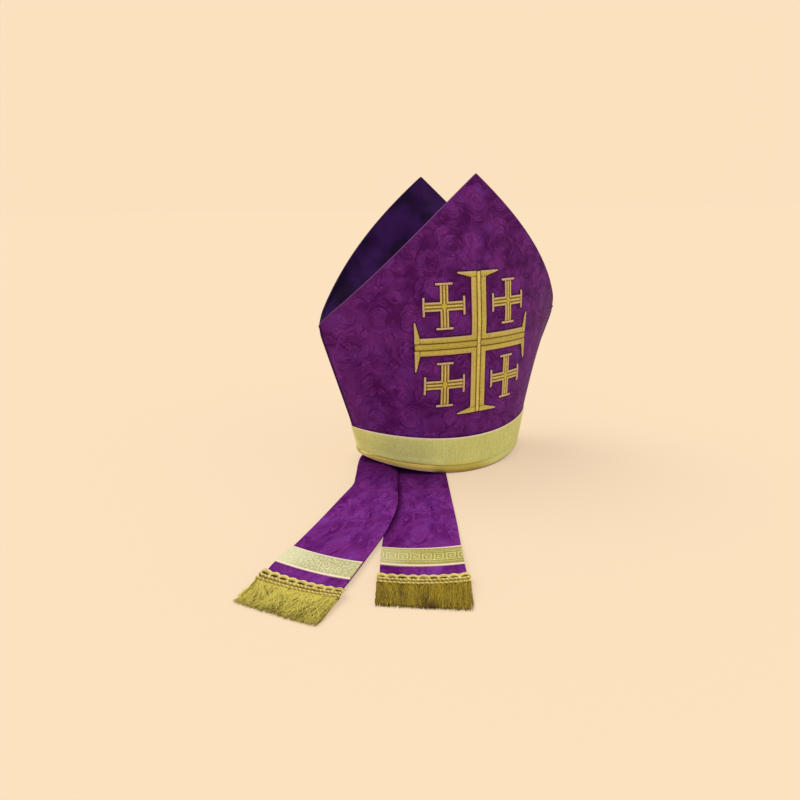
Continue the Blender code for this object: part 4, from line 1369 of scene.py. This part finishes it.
class MITRE_OT_crosses(PieceOperator):
    """Stitch the large cross and its four crosslets"""

    bl_idname = "mitre.crosses"
    bl_label = "Crosses"

    def execute(self, context):
        gold = context.scene.mitre_gold
        materials = [
            thread_finish("satin stitch", tinted(gold.thread, 1.12), edge=gold.tip_thread),
            thread_finish("pale satin stitch", tinted(gold.pale_thread, (1.13, 1.13, 0.88))),
            edge_finish("stitched ground", gold.outline),
            # the groove threads are shaded copies of the gold, painted shade for the grooves
            thread_finish("groove thread", gold.groove),
            thread_finish("tip satin stitch", gold.tip_thread),
            thread_finish("fine satin stitch", gold.pale_thread, edge=gold.tip_thread, reach=0.0019),
            thread_finish("crossbar satin stitch", tinted(gold.thread, (0.98, 0.98, 0.9))),
            thread_finish("open groove thread", tinted(gold.groove, 1.25), 0.0009),
            thread_finish("crossing satin stitch", tinted(gold.thread, (1.14, 1.12, 0.5))),
        ]
        keep(stitch_main_cross("stitched_cross", materials), "cross_main")
        for row, up in (("upper", 1), ("lower", -1)):
            for column, right in (("left", -1), ("right", 1)):
                name = f"crosslet_{row}_{column}"
                centre = (right * CROSSLET_OFFSET, CROSS_HEIGHT + up * CROSSLET_OFFSET)
                keep(stitch_crosslet(f"stitched_{name}", centre, materials), name)
        return {"FINISHED"}


# --- Lappets -------------------------------------------------------------------------------------


def under_left_lappet(points):
    """How far points lie, in plan, from the left lappet's right edge, whose shade falls beside it."""
    places = np.linspace(place_of("left", "turn_in"), place_of("left", "galloon_top"), 120)
    edge = lappet_points("left", places, 1.0)[:, :2]
    return np.linalg.norm(points[:, None, :2] - edge[None], axis=-1).min(axis=1)


def in_the_open(points):
    return np.ones(len(points))


class MITRE_OT_lappets(PieceOperator):
    """Lay the two damask lappets"""

    bl_idname = "mitre.lappets"
    bl_label = "Lappets"

    def execute(self, context):
        cloth = context.scene.mitre_cloth
        for name, table in LAPPETS.items():
            damask = damask_finish(f"lappet damask {name}", cloth, painted_shade_lengths=PAINTED_SHADE_LENGTHS, **LAPPET_DAMASK)
            across, place = grid(0, 1, 41, 0, len(table) - 1, 201)
            hem = smooth(0.075, 0.06, np.minimum(across, 1 - across)) * 0.00015
            swell = np.sin(place * 2.3 + across * 4) * np.sin(across * np.pi) * 0.0004 + 0.0004
            swell *= smooth(5.5, 7.0, place)
            top = lappet_points(name, place, across, LAPPET_WALL / 2 + hem + swell)
            bottom = lappet_points(name, place, across, -LAPPET_WALL / 2 + swell)
            chart = chart_of(lappet_points(name, place, across))
            piece = slab(f"lappet_cloth_{name}", top, bottom, chart, [damask])
            # the right lappet carries its distance from the left lappet's edge, for a painted shadow beside
            # it
            carry(piece, "inward", under_left_lappet if name == "right" else in_the_open)
            keep(piece, f"lappet_{name}")
        return {"FINISHED"}


class MITRE_OT_galloons(PieceOperator):
    """Sew a key galloon across each lappet"""

    bl_idname = "mitre.galloons"
    bl_label = "Lappet galloons"

    def execute(self, context):
        # the left galloon is given a painted sheen that washes it pale
        for name, painted_sheen in (("left", 0.8), ("right", 0.0)):
            first, last = place_of(name, "galloon_top"), place_of(name, "galloon_end")
            across, place = grid(0, 1, 61, last, first, 25)
            low = LAPPET_WALL / 2 + 0.0002
            edge = np.minimum(last - place, place - first) / (last - first)
            puff = GALLOON_WALL * (0.55 + 0.45 * smooth(0.0, 0.08, edge)) + 0.0006
            top, bottom = (lappet_points(name, place, across, lift) for lift in (low + puff, low))
            chart = chart_of(top)
            chart[..., 1] *= GALLOON_WIDTH / chart[-1, chart.shape[1] // 2, 1]
            finish = key_finish(f"key galloon {name}", context.scene.mitre_gold, painted_sheen)
            keep(slab(f"key_galloon_{name}", top, bottom, chart, [finish]), f"galloon_{name}")
        return {"FINISHED"}


def braid_point(name, along, up, lift):
    """A point of the braid: along its width from 0 to 1, up from the cloth's end in metres."""
    before, after = BRAID_OVERHANG[name]
    first, last = place_of(name, "braid_top"), place_of(name, "end")
    place = last - (last - first) * np.asarray(up) / BRAID_RUN
    across = mix(-before, 1 + after, np.asarray(along))
    return lappet_points(name, place, across, LAPPET_WALL / 2 + SEWN_ON + np.asarray(lift))


class MITRE_OT_braids(PieceOperator):
    """Make the gimp braid at the end of each lappet"""

    bl_idname = "mitre.braids"
    bl_label = "Gimp braids"

    def execute(self, context):
        gold, trim = context.scene.mitre_gold, context.scene.mitre_trim
        # the dark tape paints the shade seen through the gimp's slots and between its loops
        ground = thread_finish("gimp ground", gold.gimp_ground, 0.0011)
        cord = shaded_thread_finish("gimp cord", gold.groove, gold.gimp, 0.7)
        for order, name in enumerate(LAPPETS):
            along, up = grid(0.01, 0.99, 61, -0.0012, 0.0164, 11)
            top, bottom = (braid_point(name, along, up, lift) for lift in (TAPE_THICKNESS, 0.0))
            keep(slab(f"gimp_tape_{name}", top, bottom, chart_of(top), [ground]), f"braid_{name}")
            paths, radii, shades = [], [], []

            def lay(along, up, lift, radius, shade):
                paths.append(braid_point(name, along, up, lift))
                radii.append(radius)
                shades.append(shade)

            random = np.random.default_rng(trim.seed + 24 + order)
            arches = round(BRAID_WIDTH / GIMP_PITCH)
            turns = np.radians(np.linspace(0, 360, 25))
            for k in range(arches):
                middle = (k + 0.5 + random.uniform(-0.05, 0.05)) / arches
                tilt = random.uniform(-0.12, 0.12)
                size = random.uniform(0.92, 1.08)
                for half, top, low, shade in GIMP_LOOPS:
                    x = np.cos(turns) * half * size
                    y = np.where(np.sin(turns) > 0, top, low) * np.sin(turns)
                    x, y = x * math.cos(tilt) - y * math.sin(tilt), y * math.cos(tilt) + x * math.sin(tilt)
                    lift = 0.0013 + 0.0003 * (np.sin(turns) < 0) + random.uniform(-0.0001, 0.0002)
                    shade = clamp(shade + random.uniform(-0.2, 0.2))
                    lay(middle + x / BRAID_WIDTH, SLOT_HEIGHT + y, lift, GIMP_THREAD, shade)
            s = np.linspace(0, 1, 220)
            for height, scallop, shade in GIMP_SCALLOPS:
                lay(s, height + np.abs(np.sin(s * arches * math.pi)) * scallop, 0.0011, GIMP_THREAD, shade)
            # each cord has two plies, one painted lighter as lit and the other painted deeper as in shade
            s = np.linspace(0, 1, 260)
            for height, girth, pitch in GIMP_CORDS:
                for ply, shade in ((0, 0.5), (math.pi, 1.0)):
                    phase = s * BRAID_WIDTH / pitch * TURN + ply
                    y = height + np.cos(phase) * girth * 0.6 + np.sin(s * 40 + height * 900) * 0.0003
                    lay(s, y, 0.0018 + np.sin(phase) * girth * 0.5, girth * 0.62, shade)
            # a dark ribbed band between the cords, and the threads' roots below the lower one
            for k in range(RIBS):
                x = np.full(4, mix(0.015, 0.985, (k + random.uniform(0.2, 0.8)) / RIBS))
                lay(x, np.linspace(0.0010, 0.0062, 4), 0.0012, RIB_THREAD, random.uniform(0.0, 0.5))
                if random.random() < 0.8 and 0.05 < x[0] < 0.95:
                    lift = np.linspace(0.0002, 0.0013, 4)
                    lay(x, np.linspace(-0.0034, 0.0000, 4), lift, RIB_THREAD, random.uniform(0.0, 0.9))
            piece = threads(f"gimp_cords_{name}", paths, radii, cord, sides=6, shades=shades)
            keep(piece, f"braid_{name}", stands_for=False)
        return {"FINISHED"}


class MITRE_OT_fringes(PieceOperator):
    """Hang the thread fringes"""

    bl_idname = "mitre.fringes"
    bl_label = "Fringes"

    def execute(self, context):
        gold, trim = context.scene.mitre_gold, context.scene.mitre_trim
        for order, name in enumerate(LAPPETS):
            deep, light = getattr(gold, f"{name}_fringe_depth"), getattr(gold, f"{name}_fringe")
            lean_spread, curl, stray_share, tone_spread, glint = FRINGE_MANNERS[name]
            material = shaded_thread_finish(f"{name} fringe thread", deep, light, glint)
            random = np.random.default_rng(trim.seed + order)
            end = place_of(name, "end")
            before, after = (0.9 * over for over in BRAID_OVERHANG[name])
            onward = lappet_points(name, end, 0.5) - lappet_points(name, end - 0.2, 0.5)
            sideways = lappet_points(name, end, 1.0) - lappet_points(name, end, 0.0)
            for heading in (onward, sideways):
                heading[2] = 0
                heading /= np.linalg.norm(heading)
            slow, tufts = random.uniform(-1, 1, 14), random.uniform(-1, 1, 40)
            share = np.linspace(0, 1, 10)
            paths, shades = [], []
            for k in range(trim.threads):
                layer = k % FRINGE_LAYERS
                along = clamp((k + random.uniform(-2, 2)) / trim.threads)
                lean = np.interp(along * 13, np.arange(14), slow) * 0.0020 + random.normal(0, lean_spread)
                length = mix(*FRINGE_LENGTH, along) + np.interp(along, (0, 0.5, 1), FRINGE_EXTRA[name])
                length *= random.normal(1.0, 0.030)
                stray = random.random() < stray_share
                if stray:
                    lean *= 2.5
                    length *= random.uniform(0.35, 0.95)
                    layer = FRINGE_LAYERS
                lean = np.clip(lean, -along * BRAID_WIDTH - 0.0012, (1 - along) * BRAID_WIDTH + 0.0012)
                lean += mix(*FRINGE_LEAN[name], along)
                root = lappet_points(name, end, mix(-before, 1 + after, along))
                wave = np.sin(share * random.uniform(3, 13) + random.uniform(0, 6))
                wave *= random.uniform(0.1, 1.0) * curl
                rest = trim.thread_radius + layer * LAYER_RISE
                height = rest + (root[2] + 0.0004 + layer * 0.0003 - rest) * (1 - share) ** 1.6
                height += random.uniform(0.0, 0.0009) * np.sin(share * math.pi)
                path = root + onward * (share * length - 0.0006)[:, None]
                path += sideways * (lean * share**1.3 + wave * share)[:, None]
                path[:, 2] = np.maximum(height, trim.thread_radius * 1.02)
                paths.append(path)
                # threads in upper layers, and stray threads on top, are painted lighter, as lit
                shade = 0.40 + 0.05 * layer + random.normal(0, tone_spread)
                shade += np.interp(along * 39, np.arange(40), tufts) * 0.20 + stray * 0.45
                # the roots are painted darker, as in the shadow of the cord above them
                tone = shade - 0.25 * smooth(0.16, 0.0, share) + 0.22 * smooth(0.90, 1.0, share)
                # painted shade in the hollows where the threads part
                for start, drift, breadth, strength, first, full in () if stray else FRINGE_PAINTED_HOLLOWS[name]:
                    painted_hollow = np.exp(-(((along - start - drift * share) / breadth) ** 2))
                    tone = tone - strength * painted_hollow * smooth(first, full, share)
                shades.append(np.clip(tone, 0.0, 1.2))
            radii = [trim.thread_radius * np.array([1.0] * 7 + [0.9, 0.75, 0.4])] * len(paths)
            piece = threads(f"thread_fringe_{name}", paths, radii, material, sides=4, shades=shades)
            keep(piece, f"fringe_{name}")
        return {"FINISHED"}


# the cloth sheets as they were cut: width and length, area, how each is held, and what holds it
CUTS = {
    "lappet_cloth_left": ((0.072, 0.420), 0.0237, "laid", ("back_shell", "lappet_cloth_right")),
    "lappet_cloth_right": ((0.073, 0.432), 0.0260, "laid", ("back_shell",)),
    "lining_front": ((0.340, 0.161), 0.0298, "stretched", ("front_shell",)),
    "lining_back": ((0.340, 0.161), 0.0298, "stretched", ("back_shell",)),
}


class MITRE_OT_sheets(PieceOperator):
    """Look up the cloth sheets and the trims that lie on the lappets"""

    bl_idname = "mitre.sheets"
    bl_label = "Cloth sheets"

    def execute(self, context):
        for name, (flat, area, held, rests_on) in CUTS.items():
            piece, side = bpy.data.objects[name], name.rpartition("_")[2]
            trims = ("key_galloon", "gimp_tape", "gimp_cords", "thread_fringe") if held == "laid" else ()
            trims = [bpy.data.objects[f"{trim}_{side}"] for trim in trims]
        return {"FINISHED"}


# --- Stage ---------------------------------------------------------------------------------------

# the photograph's view: place, angles in degrees, and lens in millimetres
CAMERA_PLACE = (-0.49578, -0.73538, 0.30499)
CAMERA_HEADING = -30.362
CAMERA_DOWN = 14.792
CAMERA_ROLL = -0.709
CAMERA_LENS = 33.787
CAMERA_SENSOR = 36.0
# the key light's azimuth, elevation and softness in degrees
KEY_AZIMUTH, KEY_ELEVATION, KEY_SOFTNESS = -142, 64, 50
FLOOR_RADIUS, BACKDROP_RADIUS, BACKDROP_HEIGHT = 30.0, 29.5, 60.0


class MITRE_OT_stage(PieceOperator):
    """Set the floor, the backdrop, the lights and the camera"""

    bl_idname = "mitre.stage"
    bl_label = "Stage"

    def execute(self, context):
        studio = context.scene.mitre_studio
        paper = studio.paper[:]
        floor = Finish("paper floor")
        grain = floor.noise(floor.place(), 500.0)
        # the paper glows softly, as on a lit table, so that shadows on it stay pale
        floor.shade(
            Base_Color=floor.shades(grain, paper, 0.33, 0.345),
            Roughness=0.9,
            Specular_IOR_Level=0.0,
            Emission_Color=paper,
            Emission_Strength=0.58,
        )
        bm = bmesh.new()
        bmesh.ops.create_circle(bm, cap_ends=True, segments=96, radius=FLOOR_RADIUS)
        paper_floor = object_from(bm, "paper_floor", [floor.material])
        if paper_floor.data.polygons[0].normal.z < 0:
            paper_floor.data.flip_normals()
        far = Finish("paper backdrop")
        far.shade(Base_Color=(0, 0, 0, 1), Specular_IOR_Level=0.0)
        far.shade(Emission_Color=paper, Emission_Strength=1.0)
        bm = bmesh.new()
        size = {"radius1": BACKDROP_RADIUS, "radius2": BACKDROP_RADIUS, "depth": BACKDROP_HEIGHT}
        bmesh.ops.create_cone(bm, cap_ends=False, segments=96, **size)
        backdrop = object_from(bm, "paper_backdrop", [far.material])
        backdrop.data.flip_normals()
        for name in ("diffuse", "glossy", "transmission", "volume_scatter", "shadow"):
            setattr(backdrop, f"visible_{name}", False)

        key = bpy.data.lights.new("key", "SUN")
        key.energy, key.angle = studio.sun, math.radians(KEY_SOFTNESS)
        lamp = bpy.data.objects.new("key", key)
        lamp.rotation_euler = (math.radians(90 - KEY_ELEVATION), 0, math.radians(KEY_AZIMUTH))
        world = bpy.data.worlds.new("even light")
        world.use_nodes = True
        light = world.node_tree.nodes["Background"].inputs
        light["Color"].default_value, light["Strength"].default_value = (1.0, 1.0, 1.0, 1.0), studio.sky
        view = bpy.data.cameras.new("photo view")
        view.lens, view.sensor_width = CAMERA_LENS, CAMERA_SENSOR
        view.clip_start, view.clip_end = 0.01, 200.0
        camera = bpy.data.objects.new("photo view", view)
        place = Matrix.Translation((CAMERA_PLACE[0], CAMERA_PLACE[1] + CENTRE_Y, CAMERA_PLACE[2]))
        for degrees, axis in ((CAMERA_HEADING, "Z"), (90 - CAMERA_DOWN, "X"), (CAMERA_ROLL, "Z")):
            place @= Matrix.Rotation(math.radians(degrees), 4, axis)
        camera.matrix_world = place
        for item in (lamp, camera):
            context.scene.collection.objects.link(item)
        context.scene.camera = camera
        context.scene.world = world
        context.scene.view_settings.view_transform = "Standard"
        return {"FINISHED"}


class MITRE_PT_panel(bpy.types.Panel):
    """Lists the mitre's pieces and their settings"""

    bl_label = "Bishop Mitre"
    bl_space_type = "VIEW_3D"
    bl_region_type = "UI"
    bl_category = "Mitre"

    def draw(self, context):
        for name in ("mitre_cloth", "mitre_gold", "mitre_trim", "mitre_studio"):
            group = getattr(context.scene, name)
            box = self.layout.box()
            for setting in group.bl_rna.properties.keys():
                if setting not in ("rna_type", "name"):
                    box.prop(group, setting)
        for operator in PIECES:
            self.layout.operator(operator.bl_idname)


PIECES = (
    MITRE_OT_stage,
    MITRE_OT_panels,
    MITRE_OT_edges,
    MITRE_OT_lining,
    MITRE_OT_rim,
    MITRE_OT_crosses,
    MITRE_OT_lappets,
    MITRE_OT_galloons,
    MITRE_OT_braids,
    MITRE_OT_fringes,
    MITRE_OT_sheets,
)
SETTINGS = {
    "mitre_cloth": MitreClothSettings,
    "mitre_gold": MitreGoldSettings,
    "mitre_trim": MitreTrimSettings,
    "mitre_studio": MitreStudioSettings,
}


def register():
    for group in SETTINGS.values():
        bpy.utils.register_class(group)
    for name, group in SETTINGS.items():
        setattr(bpy.types.Scene, name, bpy.props.PointerProperty(type=group))
    for operator in PIECES:
        bpy.utils.register_class(operator)
    bpy.utils.register_class(MITRE_PT_panel)


def unregister():
    bpy.utils.unregister_class(MITRE_PT_panel)
    for operator in reversed(PIECES):
        bpy.utils.unregister_class(operator)
    for name, group in SETTINGS.items():
        delattr(bpy.types.Scene, name)
        bpy.utils.unregister_class(group)


def main():
    register()
    for operator in PIECES:
        category, call = operator.bl_idname.split(".")
        getattr(getattr(bpy.ops, category), call)()


if __name__ == "__main__":
    main()
